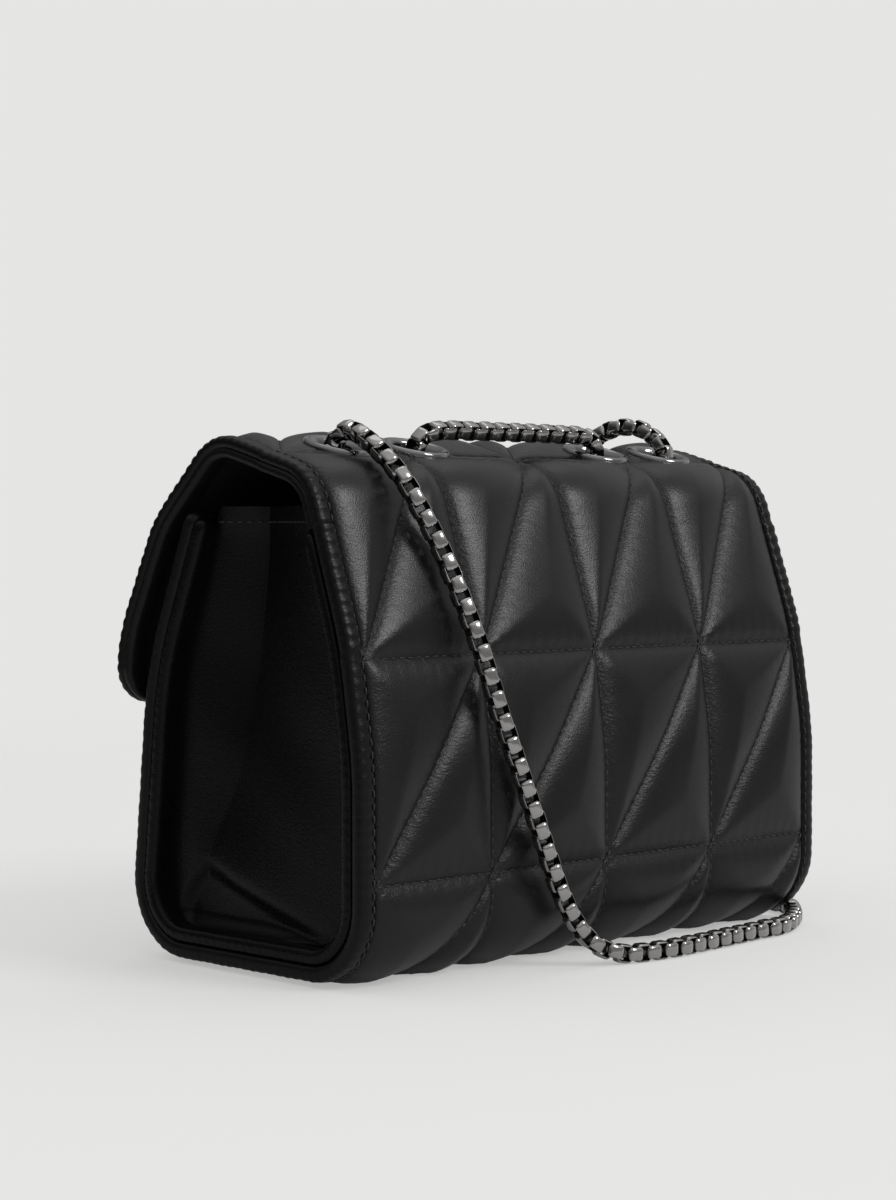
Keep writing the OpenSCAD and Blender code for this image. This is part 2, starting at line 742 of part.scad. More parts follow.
// Round tube swept along a curve, its ends square to the curve
module tube(curve) {
    n = len(curve);
    ways = [for (i = [0:n - 1]) unit(curve[min(i + 1, n - 1)] - curve[max(i - 1, 0)])];
    first_side = unit(cross(ways[0], [1, 0, 0]));
    sides = [
        for (i = 0, v = first_side; i < n;
            i = i + 1, v = i < n ? unit(v - (v * ways[i]) * ways[i]) : v) v
    ];
    points = [
        for (i = [0:n - 1])
            let (across = cross(ways[i], sides[i]))
                for (k = [0:chain_sides - 1])
                    let (a = 360 * k / chain_sides)
                        curve[i] + chain_d / 2 * (cos(a) * sides[i] + sin(a) * across)
    ];
    faces = concat(
        [for (i = [0:n - 2]) for (k = [0:chain_sides - 1])
            let (
                a = i * chain_sides + k,
                b = i * chain_sides + (k + 1) % chain_sides
            ) each [[a, a + chain_sides, b + chain_sides], [a, b + chain_sides, b]]],
        [[for (k = [0:chain_sides - 1]) k]],
        [[for (k = [chain_sides - 1:-1:0]) (n - 1) * chain_sides + k]]
    );
    color([0.3, 0.3, 0.32]) polyhedron(points = points, faces = faces);
}

module free_run(shares) {
    curve = smooth([for (p = shares) [p[0] * bag_w, p[1] * bag_d, p[2] * bag_h]]);
    tube([for (p = curve) [p[0], p[1], max(p[2], chain_d / 2)]]);
}
module chain_strap() { free_run(strap_shares); }
module chain_rise() { free_run(rise_shares); }

// A place given across X, aside and along the axis of an eyelet
function by_eyelet(x, aside, along) = [
    x,
    eyelet_at[0] + aside * cos(seat_tilt) + along * sin(seat_tilt),
    eyelet_at[1] - aside * sin(seat_tilt) + along * cos(seat_tilt)
];

module chain_underrun(aside) {
    tube(smooth([for (p = underrun_shares) by_eyelet(
        eyelet_inner + p[0] * (eyelet_outer - eyelet_inner), p[1] * aside, p[2] * span_rise)]));
}
module chain_underrun_right() { chain_underrun(-strap_aside); }
module chain_underrun_left() { mirror([1, 0, 0]) chain_underrun(strap_aside); }

// Short span between the two inner eyelets, its ends hanging down through them
module chain_top_span() {
    half = [for (p = span_shares) by_eyelet((1 - p[0]) * eyelet_inner, 0, p[1] * span_rise)];
    tube(smooth(concat(half, [for (p = reversed(half)) [-p[0], p[1], p[2]]])));
}

back_panel();
bottom_panel();
back_board();
base_board();
back_lining();
bottom_lining();
slip_pocket();
gusset_left();
gusset_right();
gusset_lining_left();
gusset_lining_right();
body_binding_left();
body_binding_right();
chain_strap();
chain_rise();
front_panel();
front_board();
front_lining();
front_magnet();
front_binding();
flap_panel();
flap_board();
flap_lining();
flap_binding();
flap_magnet();
eyelet_right_outer();
eyelet_right_inner();
eyelet_left_inner();
eyelet_left_outer();
washer_right_outer();
washer_right_inner();
washer_left_inner();
washer_left_outer();
chain_underrun_left();
chain_underrun_right();
chain_top_span();
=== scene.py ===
import math

import bmesh
import bpy
import numpy as np
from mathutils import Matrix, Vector


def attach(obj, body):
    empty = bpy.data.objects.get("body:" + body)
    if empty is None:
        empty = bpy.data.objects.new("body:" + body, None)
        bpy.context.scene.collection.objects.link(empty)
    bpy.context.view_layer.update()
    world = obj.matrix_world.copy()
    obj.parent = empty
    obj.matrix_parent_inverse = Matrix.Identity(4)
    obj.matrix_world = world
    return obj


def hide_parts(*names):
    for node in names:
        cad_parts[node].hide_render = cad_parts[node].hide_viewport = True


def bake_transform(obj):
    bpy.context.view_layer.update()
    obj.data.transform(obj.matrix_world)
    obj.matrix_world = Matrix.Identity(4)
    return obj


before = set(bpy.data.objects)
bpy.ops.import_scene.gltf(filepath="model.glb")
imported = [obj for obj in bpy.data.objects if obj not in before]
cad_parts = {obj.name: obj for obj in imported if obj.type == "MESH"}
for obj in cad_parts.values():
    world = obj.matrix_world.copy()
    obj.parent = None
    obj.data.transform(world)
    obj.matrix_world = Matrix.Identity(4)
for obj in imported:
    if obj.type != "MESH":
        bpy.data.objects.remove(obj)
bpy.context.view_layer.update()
scene = bpy.context.scene
scene.view_settings.view_transform = "Standard"

# Camera
# The bag is seen from behind and from its right end, a little below its crest.
camera_data = bpy.data.cameras.new("camera")
camera_data.sensor_fit = "VERTICAL"
camera_data.sensor_height = 36
camera_data.lens = 77.79
camera = bpy.data.objects.new("camera", camera_data)
camera.location = (0.6043, 0.6027, 0.134)
camera.rotation_euler = (math.radians(88.454), 0, math.radians(135.6))
scene.collection.objects.link(camera)
scene.camera = camera

# Free run of the chain
# Square box chain of dark nickel: each link is a flat band bent into a rounded
# ring, turned a quarter against its neighbours. The run hangs from the right
# outer eyelet, lies along the floor and climbs the front to the left one.
MM = 0.001
LINK_PITCH = 3.6
LINK_LENGTH = 5.4
LINK_HEIGHT = 5.7
BAND_WIDTH = 3.95
PLATE_THICKNESS = 0.85
END_THICKNESS = 0.88
OUTER_CORNER = 1.3
INNER_CORNER = 0.45
BAND_BEVEL = 0.45
BAND_CROWN = 0.1
CROWN_SHARE = 0.7
CORNER_STEPS = 4
TURN_SPREAD = 2.5
SHIFT_SPREAD = 0.06
HANGING_ROLL = 5
HANGING_HEIGHTS = (5, 45)
ROUTE_STEPS = 12
FLOOR_CLEARANCE = 2.95
STRAP_ROUTE = [
    (74, 10, 156), (74, 11.5, 160.5), (74.2, 17.5, 164.3), (75.3, 29.5, 160.2),
    (73.8, 42.5, 148.5), (66, 50.5, 127.5), (60, 59, 102), (53, 63.5, 76.5), (42, 65, 50),
    (31, 65.2, 26), (24, 65.6, 14.5), (16, 67.5, 6.5), (6, 71, 3.2), (-11, 73.3, 3),
    (-31, 72, 3), (-55, 69.5, 3), (-74, 68, 3), (-88, 61.5, 3), (-102, 51, 3),
    (-112, 40, 3), (-118, 18, 3), (-119, -20, 3), (-114, -60, 3), (-95, -88, 3),
    (-60, -98, 3), (-18, -99, 3), (12, -97, 3), (29, -84.5, 3), (12, -73, 3),
    (-18, -71.5, 3), (-40, -71.5, 3),
]
RISE_ROUTE = [
    (-40.3, -71.5, 3), (-53, -71.5, 3), (-68, -70, 9), (-74, -67, 32), (-74, -65.5, 80),
    (-74, -60.5, 110), (-74, -49, 136), (-74, -32, 155.5), (-74, -11.5, 168),
    (-74, 4, 169.2), (-74, 15.5, 162.5), (-74, 15, 155),
]


class Wire:
    """An output socket of a shader: arithmetic on it adds Math nodes."""

    def __init__(self, socket):
        self.socket = socket
        self.tree = socket.id_data

    def node(self, kind, settings, sockets, output=0):
        """Adds a node: its settings come first, then its sockets' values or links."""
        made = self.tree.nodes.new(kind)
        for name, value in settings.items():
            setattr(made, name, value)
        wire_up(made, sockets)
        return Wire(made.outputs[output])

    def math(self, operation, *values):
        return self.node("ShaderNodeMath", {"operation": operation}, dict(enumerate(values)))

    def __add__(self, other):
        return self.math("ADD", self, other)

    def __sub__(self, other):
        return self.math("SUBTRACT", self, other)

    def __rsub__(self, other):
        return self.math("SUBTRACT", other, self)

    def __mul__(self, other):
        return self.math("MULTIPLY", self, other)

    __radd__ = __add__
    __rmul__ = __mul__


def wire_up(node, sockets):
    """Gives a node's sockets their values, or links them."""
    for name, value in sockets.items():
        if isinstance(value, Wire):
            value.tree.links.new(value.socket, node.inputs[name])
        else:
            node.inputs[name].default_value = value


def new_finish(name):
    """A new material, its shader, and its coordinates in metres."""
    finish = bpy.data.materials.new(name)
    finish.use_nodes = True
    tree = finish.node_tree
    place = Wire(tree.nodes.new("ShaderNodeTexCoord").outputs["Object"])
    return finish, tree.nodes["Principled BSDF"], place


def noise(place, scale, detail=2, roughness=0.5):
    """Value from 0 to 1 that varies over so many cells per metre."""
    return place.node(
        "ShaderNodeTexNoise", {},
        {"Vector": place, "Scale": scale, "Detail": detail, "Roughness": roughness},
    )


def blended_colour(mask, low, high):
    """Colour from low, where the mask is 0, to high, where it is 1."""
    low = low if isinstance(low, Wire) else (*low, 1)
    return mask.node(
        "ShaderNodeMix", {"data_type": "RGBA"}, {0: mask, 6: low, 7: (*high, 1)}, 2
    )


def recess_of(place):
    """How deep a point lies, from 0 to 1: in a seam, or on the inside of a link, where metal gets
    painted shade.
    """
    return place.node("ShaderNodeAttribute", {"attribute_name": "recess"}, {}, "Fac")


def relief(height, distance, strength, under=None):
    """Bump of a height in metres, on top of another bump if one is given."""
    sockets = {"Height": height, "Distance": distance, "Strength": strength}
    if under is not None:
        sockets["Normal"] = under
    return height.node("ShaderNodeBump", {}, sockets)


def nickel(name, tone, polish):
    """Dark polished nickel, with handling haze and hairline wear, and painted shade: near black
    and rougher on the insides of links.
    """
    finish, shader, place = new_finish(name)
    haze = noise(place, 160, 4, 0.6)
    stretched = place.node("ShaderNodeMapping", {}, {"Vector": place, "Scale": (900, 9000, 2500)})
    hairlines = noise(stretched, 1.0)
    bare = blended_colour(haze, [0.85 * t for t in tone], tone)
    # Painted shade: the insides of chain links are coloured near black, so the gaps between links
    # read dark.
    wire_up(shader, {
        "Base Color": blended_colour(recess_of(place), bare, (0.02, 0.02, 0.021)),
        "Metallic": 1.0,
        "Roughness": polish + 0.1 * haze + 0.3 * recess_of(place),
        "Normal": relief(hairlines, 0.00002, 0.35),
    })
    return finish


def new_piece(name, points, faces, finish, sharp=50, recess=None):
    """Object of a mesh in millimetres; edges above the sharp angle stay crisp."""
    mesh = bpy.data.meshes.new(name)
    mesh.from_pydata((np.asarray(points) * MM).tolist(), [], faces)
    if recess is not None:
        mesh.attributes.new("recess", "FLOAT", "POINT").data.foreach_set("value", recess)
    shape = bmesh.new()
    shape.from_mesh(mesh)
    loose = [v for v in shape.verts if not v.link_faces]
    bmesh.ops.delete(shape, geom=loose, context="VERTS")
    bmesh.ops.recalc_face_normals(shape, faces=shape.faces)
    shape.to_mesh(mesh)
    shape.free()
    mesh.materials.append(finish)
    mesh.polygons.foreach_set("use_smooth", [True] * len(mesh.polygons))
    mesh.set_sharp_from_angle(angle=math.radians(sharp))
    piece = bpy.data.objects.new(name, mesh)
    scene.collection.objects.link(piece)
    return piece


def smooth_route(route, floor=None):
    """Smooth curve through the points of a route."""
    points = np.array(route, float)
    points = np.vstack([points[:1], points, points[-1:]])
    curve = []
    for a, b, c, d in zip(points, points[1:], points[2:], points[3:]):
        for t in np.arange(ROUTE_STEPS) / ROUTE_STEPS:
            curve.append((2 * b + t * (c - a) + t**2 * (2 * a - 5 * b + 4 * c - d)
                          + t**3 * (3 * b - 3 * c + d - a)) / 2)
    curve = np.array(curve + [points[-1]])
    if floor is not None:
        curve[:, 2] = np.maximum(curve[:, 2], floor)
    return curve


def length_along(curve):
    """Length from a curve's start to each of its points."""
    return np.r_[0, np.cumsum(np.linalg.norm(np.diff(curve, axis=0), axis=1))]


def rows_at(at, lengths, rows):
    """Rows of a table in between those that are given at some lengths."""
    return np.column_stack([np.interp(at, lengths, column) for column in rows.T])


def spaced(curve, spacing):
    """Points at an even spacing along a curve."""
    lengths = length_along(curve)
    count = round(lengths[-1] / spacing)
    at = (np.arange(count) + 0.5) * lengths[-1] / count
    return rows_at(at, lengths, curve)


def unit_rows(vectors):
    return vectors / np.linalg.norm(vectors, axis=1)[:, None]


def carried_sides(ways, start, side):
    """Side directions carried both ways along a curve from one place, untwisted."""
    sides = np.zeros_like(ways)
    sides[start] = side
    for order in (range(start, len(ways)), range(start, -1, -1)):
        held = np.array(side, float)
        for i in order:
            held = held - (held @ ways[i]) * ways[i]
            held /= np.linalg.norm(held)
            sides[i] = held
    return sides


def rounded_rectangle(half_length, half_height, radius):
    """Points round a rectangle with rounded corners, corner by corner."""
    points = []
    for corner, (u, v) in enumerate([(1, 1), (-1, 1), (-1, -1), (1, -1)]):
        for step in range(CORNER_STEPS):
            angle = math.radians(90 * corner + 90 * step / (CORNER_STEPS - 1))
            points.append((
                u * (half_length - radius) + radius * math.cos(angle),
                v * (half_height - radius) + radius * math.sin(angle),
            ))
    return np.array(points)


def ring_faces(stations, around, closed):
    """Faces between successive rings of points."""
    faces = []
    for i in range(stations if closed else stations - 1):
        for k in range(around):
            here, there = i * around, (i + 1) % stations * around
            next_k = (k + 1) % around
            faces.append((here + k, here + next_k, there + next_k, there + k))
    if not closed:
        faces.append(tuple(range(around - 1, -1, -1)))
        faces.append(tuple((stations - 1) * around + k for k in range(around)))
    return faces


outer_ring = rounded_rectangle(LINK_LENGTH / 2, LINK_HEIGHT / 2, OUTER_CORNER)
inner_ring = rounded_rectangle(
    LINK_LENGTH / 2 - END_THICKNESS, LINK_HEIGHT / 2 - PLATE_THICKNESS, INNER_CORNER
)
half_band = BAND_WIDTH / 2
flank = -BAND_CROWN * CROWN_SHARE
link_points, link_inside_shade = [], []
for outside, inside in zip(outer_ring, inner_ring):
    inwards = (inside - outside) / np.linalg.norm(inside - outside)
    one_side = [
        (outside, half_band / 2, flank), (outside, half_band - BAND_BEVEL, BAND_CROWN / 2),
        (outside, half_band, BAND_BEVEL), (inside, half_band, -BAND_BEVEL / 2),
        (inside, half_band - BAND_BEVEL, 0),
    ]
    other_side = [(edge, -width, drop) for edge, width, drop in one_side]
    for edge, width, drop in [(outside, 0, -BAND_CROWN)] + other_side + one_side[::-1]:
        u, v = edge + drop * inwards
        link_points.append((u, v, width))
        # Inside faces of a link are marked for painted shade.
        link_inside_shade.append(1.0 if edge is inside else 0.0)
link_points = np.array(link_points)
link_faces = ring_faces(len(outer_ring), len(link_points) // len(outer_ring), True)
link_rng = np.random.default_rng(11)


def chain_piece(name, curve, start, side, roll=lambda place: 0):
    """Links strung along a curve. The start link's plates face the side direction,
    and roll gives a further turn in degrees at a place."""
    centres = spaced(curve, LINK_PITCH)
    ways = unit_rows(np.gradient(centres, axis=0))
    sides = carried_sides(ways, start % len(centres), side)
    points, faces = [], []
    for i, (centre, way, up) in enumerate(zip(centres, ways, sides)):
        turn = math.radians(roll(centre) + link_rng.normal(0, TURN_SPREAD) + 90 * (i % 2))
        across = np.cross(way, up)
        height = math.cos(turn) * up + math.sin(turn) * across
        width = np.cross(way, height)
        shift = link_rng.normal(0, SHIFT_SPREAD, 3)
        points.append(centre + shift + link_points @ np.array([way, height, width]))
        faces += [tuple(k + i * len(link_points) for k in face) for face in link_faces]
    return new_piece(
        name, np.vstack(points), faces, dark_nickel, 32, link_inside_shade * len(centres)
    )


def eased(value, low, high):
    """Smooth step from 0 at low to 1 at high."""
    t = np.clip((value - low) / (high - low), 0, 1)
    return t * t * (3 - 2 * t)


dark_nickel = nickel("dark_nickel_chain", (0.5, 0.49, 0.48), 0.1)
strap_curve = smooth_route(STRAP_ROUTE, floor=FLOOR_CLEARANCE)
rise_curve = smooth_route(RISE_ROUTE, floor=FLOOR_CLEARANCE)
chain_strap = chain_piece(
    "chain_free_run", strap_curve, -30, (0, 0, 1),
    lambda place: HANGING_ROLL * eased(place[2], *HANGING_HEIGHTS),
)
chain_rise = chain_piece("chain_front_rise", rise_curve, 2, (0, 0, 1))
for piece, curve, node, low, high in (
    (chain_strap, strap_curve, "chain_strap", (0, 0, 0.132), (0, 0, 0.154)),
    (chain_rise, rise_curve, "chain_rise", (0, -0.056, 0.13), (0, 0.012, 0.13)),
):
    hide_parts(node)
    tuple(curve[0] * MM)
    [tuple(p) for p in (curve * MM).tolist()]
    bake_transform(piece)

# Short span and hidden runs of the chain
# The same chain passes down through the two inner eyelets, and on each side runs
# under the flap's lining from an inner to an outer eyelet.
EYELET_PLACE = (13.427, 159.344)
EYELET_TILT = math.radians(15.072)
SIDES = ((1, "right"), (-1, "left"))
OUTER_X = 74.0
INNER_X = 42.0
EYELET_XS = (OUTER_X, INNER_X, -INNER_X, -OUTER_X)
SPAN_RISE = 6.5
SPAN_ROLL = 14
RUN_ASIDE = 2.5
SPAN_SHARES = [
    (0, -1.85), (0, -0.6), (0.01, 0.15), (0.07, 0.69), (0.18, 0.92), (0.33, 0.985), (0.64, 1),
]
UNDERRUN_SHARES = [
    (1, 1, -0.71), (1, 1, -1.39), (0.92, 0.9, -2.23), (0.72, 0.6, -2.85), (0.44, 0.3, -3),
    (0.19, 0, -2.9), (0.035, 0, -2.54), (0, 0, -2.12), (0, 0, -1.95),
]


def at_eyelet(x, aside, along):
    """Place given across X, aside and along the axis of an eyelet."""
    cos_tilt, sin_tilt = math.cos(EYELET_TILT), math.sin(EYELET_TILT)
    return (
        x,
        EYELET_PLACE[0] + aside * cos_tilt + along * sin_tilt,
        EYELET_PLACE[1] - aside * sin_tilt + along * cos_tilt,
    )


span_half = [at_eyelet((1 - a) * INNER_X, 0, b * SPAN_RISE) for a, b in SPAN_SHARES]
span_route = span_half + [(-x, y, z) for x, y, z in reversed(span_half)]
span_up = np.subtract(at_eyelet(0, 0, 1), at_eyelet(0, 0, 0))
span_curve = smooth_route(span_route)
middle_link = len(spaced(span_curve, LINK_PITCH)) // 2
chain_span = chain_piece(
    "chain_crest_span", span_curve, middle_link, span_up, lambda place: SPAN_ROLL
)
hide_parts("chain_top_span")
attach(chain_span, "chain_span")
for side, word in SIDES:
    route = [
        at_eyelet(
            INNER_X + (OUTER_X - INNER_X) * out, -side * aside * RUN_ASIDE, along * SPAN_RISE
        )
        for out, aside, along in UNDERRUN_SHARES
    ]
    curve = smooth_route([(side * x, y, z) for x, y, z in route])
    piece = chain_piece(f"chain_hidden_run_{word}", curve, 6, (0, 1, 0))
    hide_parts(f"chain_underrun_{word}")
    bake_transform(piece)

# Eyelets and washers
# Spun rings of dark nickel, rolled over the hide on the crest and riveted inside
# the flap over flat washers.
EYELET_BORE = 7.25
EYELET_EDGE = 11.25
BARREL_OUTSIDE = 7.95
BARREL_END = -8.75
BARREL_TOP = -1.4
RIM_FLARE = [
    (11.1, -1.3), (11.25, -0.7), (11.22, 0.1), (11.0, 0.75), (10.6, 1.2), (10.1, 1.38),
    (9.6, 1.3), (9.1, 1.0), (8.6, 0.45), (8.2, -0.3), (7.85, -1.3), (7.55, -2.5), (7.35, -3.8),
    (7.25, -5.2),
]
SPIN_STEPS = 96


def spun(profile, x):
    """Ring of a profile of (radius, height) spun round an eyelet's axis."""
    points = []
    for k in range(SPIN_STEPS):
        a = 2 * math.pi * k / SPIN_STEPS
        for radius, height in profile:
            points.append(at_eyelet(x + radius * math.cos(a), radius * math.sin(a), height))
    return points, ring_faces(SPIN_STEPS, len(profile), True)


barrel = [(EYELET_BORE, BARREL_END), (BARREL_OUTSIDE, BARREL_END), (BARREL_OUTSIDE, BARREL_TOP)]
eyelet_nickel = nickel("dark_nickel_eyelets", (0.3, 0.3, 0.31), 0.06)
washer_nickel = nickel("dull_nickel_washers", (0.42, 0.42, 0.43), 0.28)
eyelet_words = ("right_outer", "right_inner", "left_inner", "left_outer")
for x, word in zip(EYELET_XS, eyelet_words):
    points, faces = spun(barrel + RIM_FLARE, x)
    ring = new_piece(f"rolled_eyelet_{word}", points, faces, eyelet_nickel)
    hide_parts(f"eyelet_{word}")
    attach(ring, "flap")
    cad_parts[f"washer_{word}"].material_slots[0].material = washer_nickel

# Quilted hide
# Thin black hide over padding in four columns, each cell crossed by one seam.
# Lengths s run along the bag's side outline: down the front, along the base, up
# the back, over the crest and down to the flap's lip.
BAG_DEPTH = 118
BAG_HEIGHT = 163.5
SIDE_CORNERS = [
    (-0.202, 0.8624, 0), (-0.373, 0.563, 120), (-0.451, 0, 25), (0.5, 0, 25),
    (0.5, 0.404, 120), (0.453, 0.618, 120), (0.351, 0.833, 0), (0.302, 0.938, 20),
    (-0.017, 1, 20), (-0.111, 1, 20), (-0.339, 0.845, 42), (-0.5, 0.6055, 50),
    (-0.5, 0.4832, 0),
]
PIVOT_CORNER = 2
HINGE_CORNER = 6
BEND_STEP = 2.5
STRAIGHT_MIN = 0.5
LINE_STEP = 0.5
TANGENT_REACH = 5


def rounded_side():
    """Side outline as points, and the number of the first point of each corner."""
    corners = [(y * BAG_DEPTH, z * BAG_HEIGHT, r) for y, z, r in SIDE_CORNERS]
    spots = np.array([c[:2] for c in corners])
    ways = unit_rows(np.diff(spots, axis=0))
    last = len(corners) - 1

    def turn(k):
        return math.acos(ways[k - 1] @ ways[k]) if corners[k][2] else 0

    def fit(k):
        needed = sum(corners[i][2] * math.tan(turn(i) / 2) for i in (k, k + 1))
        room = np.linalg.norm(spots[k + 1] - spots[k]) - STRAIGHT_MIN
        return room / needed if needed > room else 1

    points, firsts = [], []
    for k in range(last + 1):
        firsts.append(len(points))
        if not corners[k][2]:
            points.append(spots[k])
            continue
        bend, back, on = turn(k), -ways[k - 1], ways[k]
        radius = corners[k][2] * min(fit(k - 1), fit(k))
        centre = spots[k] + (back + on) / np.linalg.norm(back + on) * radius / math.cos(bend / 2)
        arm = spots[k] + back * radius * math.tan(bend / 2) - centre
        way = 1 if back[0] * on[1] - back[1] * on[0] < 0 else -1
        steps = max(2, math.ceil(math.degrees(bend) / BEND_STEP))
        for i in range(steps + 1):
            a = way * bend * i / steps
            points.append(centre + (arm[0] * math.cos(a) - arm[1] * math.sin(a),
                                    arm[0] * math.sin(a) + arm[1] * math.cos(a)))
    return np.array(points), firsts


corner_line, corner_firsts = rounded_side()
corner_lengths = length_along(corner_line)
line_at = np.arange(0, corner_lengths[-1], LINE_STEP)
line_at = np.r_[line_at, corner_lengths[-1]]
side_line = rows_at(line_at, corner_lengths, corner_line)
longer_line = np.pad(side_line, ((TANGENT_REACH, TANGENT_REACH), (0, 0)), "edge")
side_ways = unit_rows(longer_line[2 * TANGENT_REACH:] - longer_line[:-2 * TANGENT_REACH])
side_inwards = np.column_stack([-side_ways[:, 1], side_ways[:, 0]])
pivot_s = corner_lengths[corner_firsts[PIVOT_CORNER]]
hinge_s = corner_lengths[corner_firsts[HINGE_CORNER]]
lip_s = corner_lengths[-1]
flap_part = line_at > hinge_s
eyelet_s = float(np.interp(-EYELET_PLACE[0], -side_line[flap_part, 0], line_at[flap_part]))


def skin(x, s, depth):
    """Places at X, at a length along the side outline and at a depth under it."""
    x, s, depth = np.broadcast_arrays(np.asarray(x, float), s, depth)
    inward = unit_rows(rows_at(s.ravel(), line_at, side_inwards))
    flat = rows_at(s.ravel(), line_at, side_line) + inward * depth.ravel()[:, None]
    return np.column_stack([x.ravel(), flat])


def length_at_height(z, low, high):
    """Length along the outline where it reaches a height, between two lengths."""
    part = (line_at >= low) & (line_at <= high)
    heights, lengths = side_line[part, 1], line_at[part]
    order = np.argsort(heights)
    return float(np.interp(z, heights[order], lengths[order]))


BINDING_WIDTH = 6
PANEL_HALF = 99
CELL_STEPS = 36
SEAM_DEPTH = 2.3
PUFF = 3.9
PUFF_SPREAD = 7.5
SEAM_SOFTNESS = 0.5
SEAM_STEEPNESS = 1.0
SEAM_STEEP_SHARE = 0.14
SEAM_SHADE_REACH = 3.0
PADDING_DEPTH = 5.4
LOWEST_HIDE = 0.3
UNEVENNESS = 0.22
UNEVEN_SCALE = 9
UNEVEN_REACH = 6
PUCKER = 0.14
PUCKER_SPACING = 5.3
PUCKER_SWAY = 1.6
PUCKER_SWAY_SCALE = 14
PUCKER_REACH = 3.6
PUCKER_START = 1.2
SEAT_DEPTH = 0.1
SEAT_INSIDE = EYELET_EDGE - 0.5
SEAT_OUTSIDE = EYELET_EDGE + 3.5
QUILT_ROW_SHARES = np.array([
    0.0112, 0.0882, 0.2123, 0.352, 0.4917, 0.6153, 0.7583, 0.8754, 0.9888,
])
QUILT_COLUMNS = (-PANEL_HALF, -51, 0, 51, PANEL_HALF)
row_lines = QUILT_ROW_SHARES * lip_s
base_middle, crest_row = row_lines[3], row_lines[6]
column_lines = np.array(QUILT_COLUMNS, float)
puff_rng = np.random.default_rng(5)
fullness = puff_rng.uniform(0.88, 1.1, (len(row_lines), len(column_lines), 2))
waves = puff_rng.uniform(0, 2 * math.pi, 12)


def wander(x, s, scale, first):
    """Slow unevenness from -1 to 1."""
    a, b, c = waves[first:first + 3]
    return (np.sin(x / scale + a + 1.3 * np.sin(s / scale * 0.7 + b))
            + np.sin(s / scale * 1.1 + c + 1.1 * np.sin(x / scale * 0.8 + a))) / 2


def quilt(x, s):
    """Depth of the quilted surface under the outline, and how near a seam is."""
    x, s = np.broadcast_arrays(np.asarray(x, float), np.asarray(s, float))
    column = np.clip(np.searchsorted(column_lines, x, "right") - 1, 0, len(column_lines) - 2)
    row = np.clip(np.searchsorted(row_lines, s, "right") - 1, 0, len(row_lines) - 2)
    width = column_lines[column + 1] - column_lines[column]
    height = row_lines[row + 1] - row_lines[row]
    u = (x - column_lines[column]) / width
    v = (s - row_lines[row]) / height
    slant = (u + v - 1) * width * height / np.hypot(width, height)
    distances = np.array([u * width, (1 - u) * width, v * height, (1 - v) * height, np.abs(slant)])
    distances = np.maximum(distances, 0)
    near = -SEAM_SOFTNESS * np.log(np.exp(-distances / SEAM_SOFTNESS).sum(axis=0))
    near = np.maximum(near, 0)
    full = fullness[row, column, (slant > 0).astype(int)]
    steep, broad = SEAM_STEEP_SHARE, 1 - SEAM_STEEP_SHARE
    rise = PUFF * full * (
        1 - steep * np.exp(-near / SEAM_STEEPNESS) - broad * np.exp(-near / PUFF_SPREAD)
    )
    rise += UNEVENNESS * wander(x, s, UNEVEN_SCALE, 0) * (1 - np.exp(-near / UNEVEN_REACH))
    along = (u * width * -width + v * height * height) / np.hypot(width, height)
    for gap, way, first in (
        (np.minimum(distances[0], distances[1]), s, 3),
        (np.minimum(distances[2], distances[3]), x, 5),
        (distances[4], along, 7),
    ):
        sway = PUCKER_SWAY * wander(x, s, PUCKER_SWAY_SCALE, first)
        ripple = np.sin(2 * math.pi * way / PUCKER_SPACING + sway)
        rise += PUCKER * ripple * np.exp(-gap / PUCKER_REACH) * (1 - np.exp(-near / PUCKER_START))
    depth = SEAM_DEPTH - rise
    for eyelet_x in EYELET_XS:
        far = np.hypot(x - eyelet_x, s - eyelet_s)
        depth = depth + (SEAT_DEPTH - depth) * (1 - eased(far, SEAT_INSIDE, SEAT_OUTSIDE))
    return depth, np.exp(-near / SEAM_SHADE_REACH)


def panel_half_at(s, half, end, radius):
    """Half width of the flap's layers, drawn in round the lip's corners."""
    up = np.clip(radius - (end - s), 0, radius)
    return half - (radius - np.sqrt(radius**2 - up**2))


def grid_faces(rows, columns, keep=None, split=False):
    """Faces of a grid; split cuts each square along the way of the slanted seams."""
    faces = []
    for i in range(rows - 1):
        for j in range(columns - 1):
            if keep is not None and not keep[i, j]:
                continue
            a = i * columns + j
            if split:
                faces += [(a, a + 1, a + columns), (a + 1, a + columns + 1, a + columns)]
            else:
                faces.append((a, a + 1, a + columns + 1, a + columns))
    return faces


def shell(outer, inner, faces):
    """Closed sheet: outer faces, the same faces inside, and walls round open edges."""
    count = len(outer)
    edges = {(a, b) for face in faces for a, b in zip(face, face[1:] + face[:1])}
    walls = [(b, a, a + count, b + count) for a, b in edges if (b, a) not in edges]
    inside = [tuple(k + count for k in reversed(face)) for face in faces]
    return np.vstack([outer, inner]), faces + inside + sorted(walls)


def clear_of_eyelets(x, s, hole):
    """Which squares of a grid lie outside holes of a radius at the eyelets."""
    middle_x = (x[:-1, :-1] + x[1:, 1:]) / 2
    middle_s = (s[:-1, :-1] + s[1:, 1:]) / 2
    keep = np.ones(middle_x.shape, bool)
    for eyelet_x in EYELET_XS:
        keep &= np.hypot(middle_x - eyelet_x, middle_s - eyelet_s) > hole
    return keep


def divided(lines):
    """Each cell between lines divided into even steps."""
    return np.unique(np.concatenate([
        np.linspace(a, b, CELL_STEPS + 1) for a, b in zip(lines, lines[1:])
    ]))


quilt_columns, quilt_rows = divided(column_lines), divided(row_lines)
EYELET_HOLE = 9.3
LIP_PANEL_RADIUS = 6


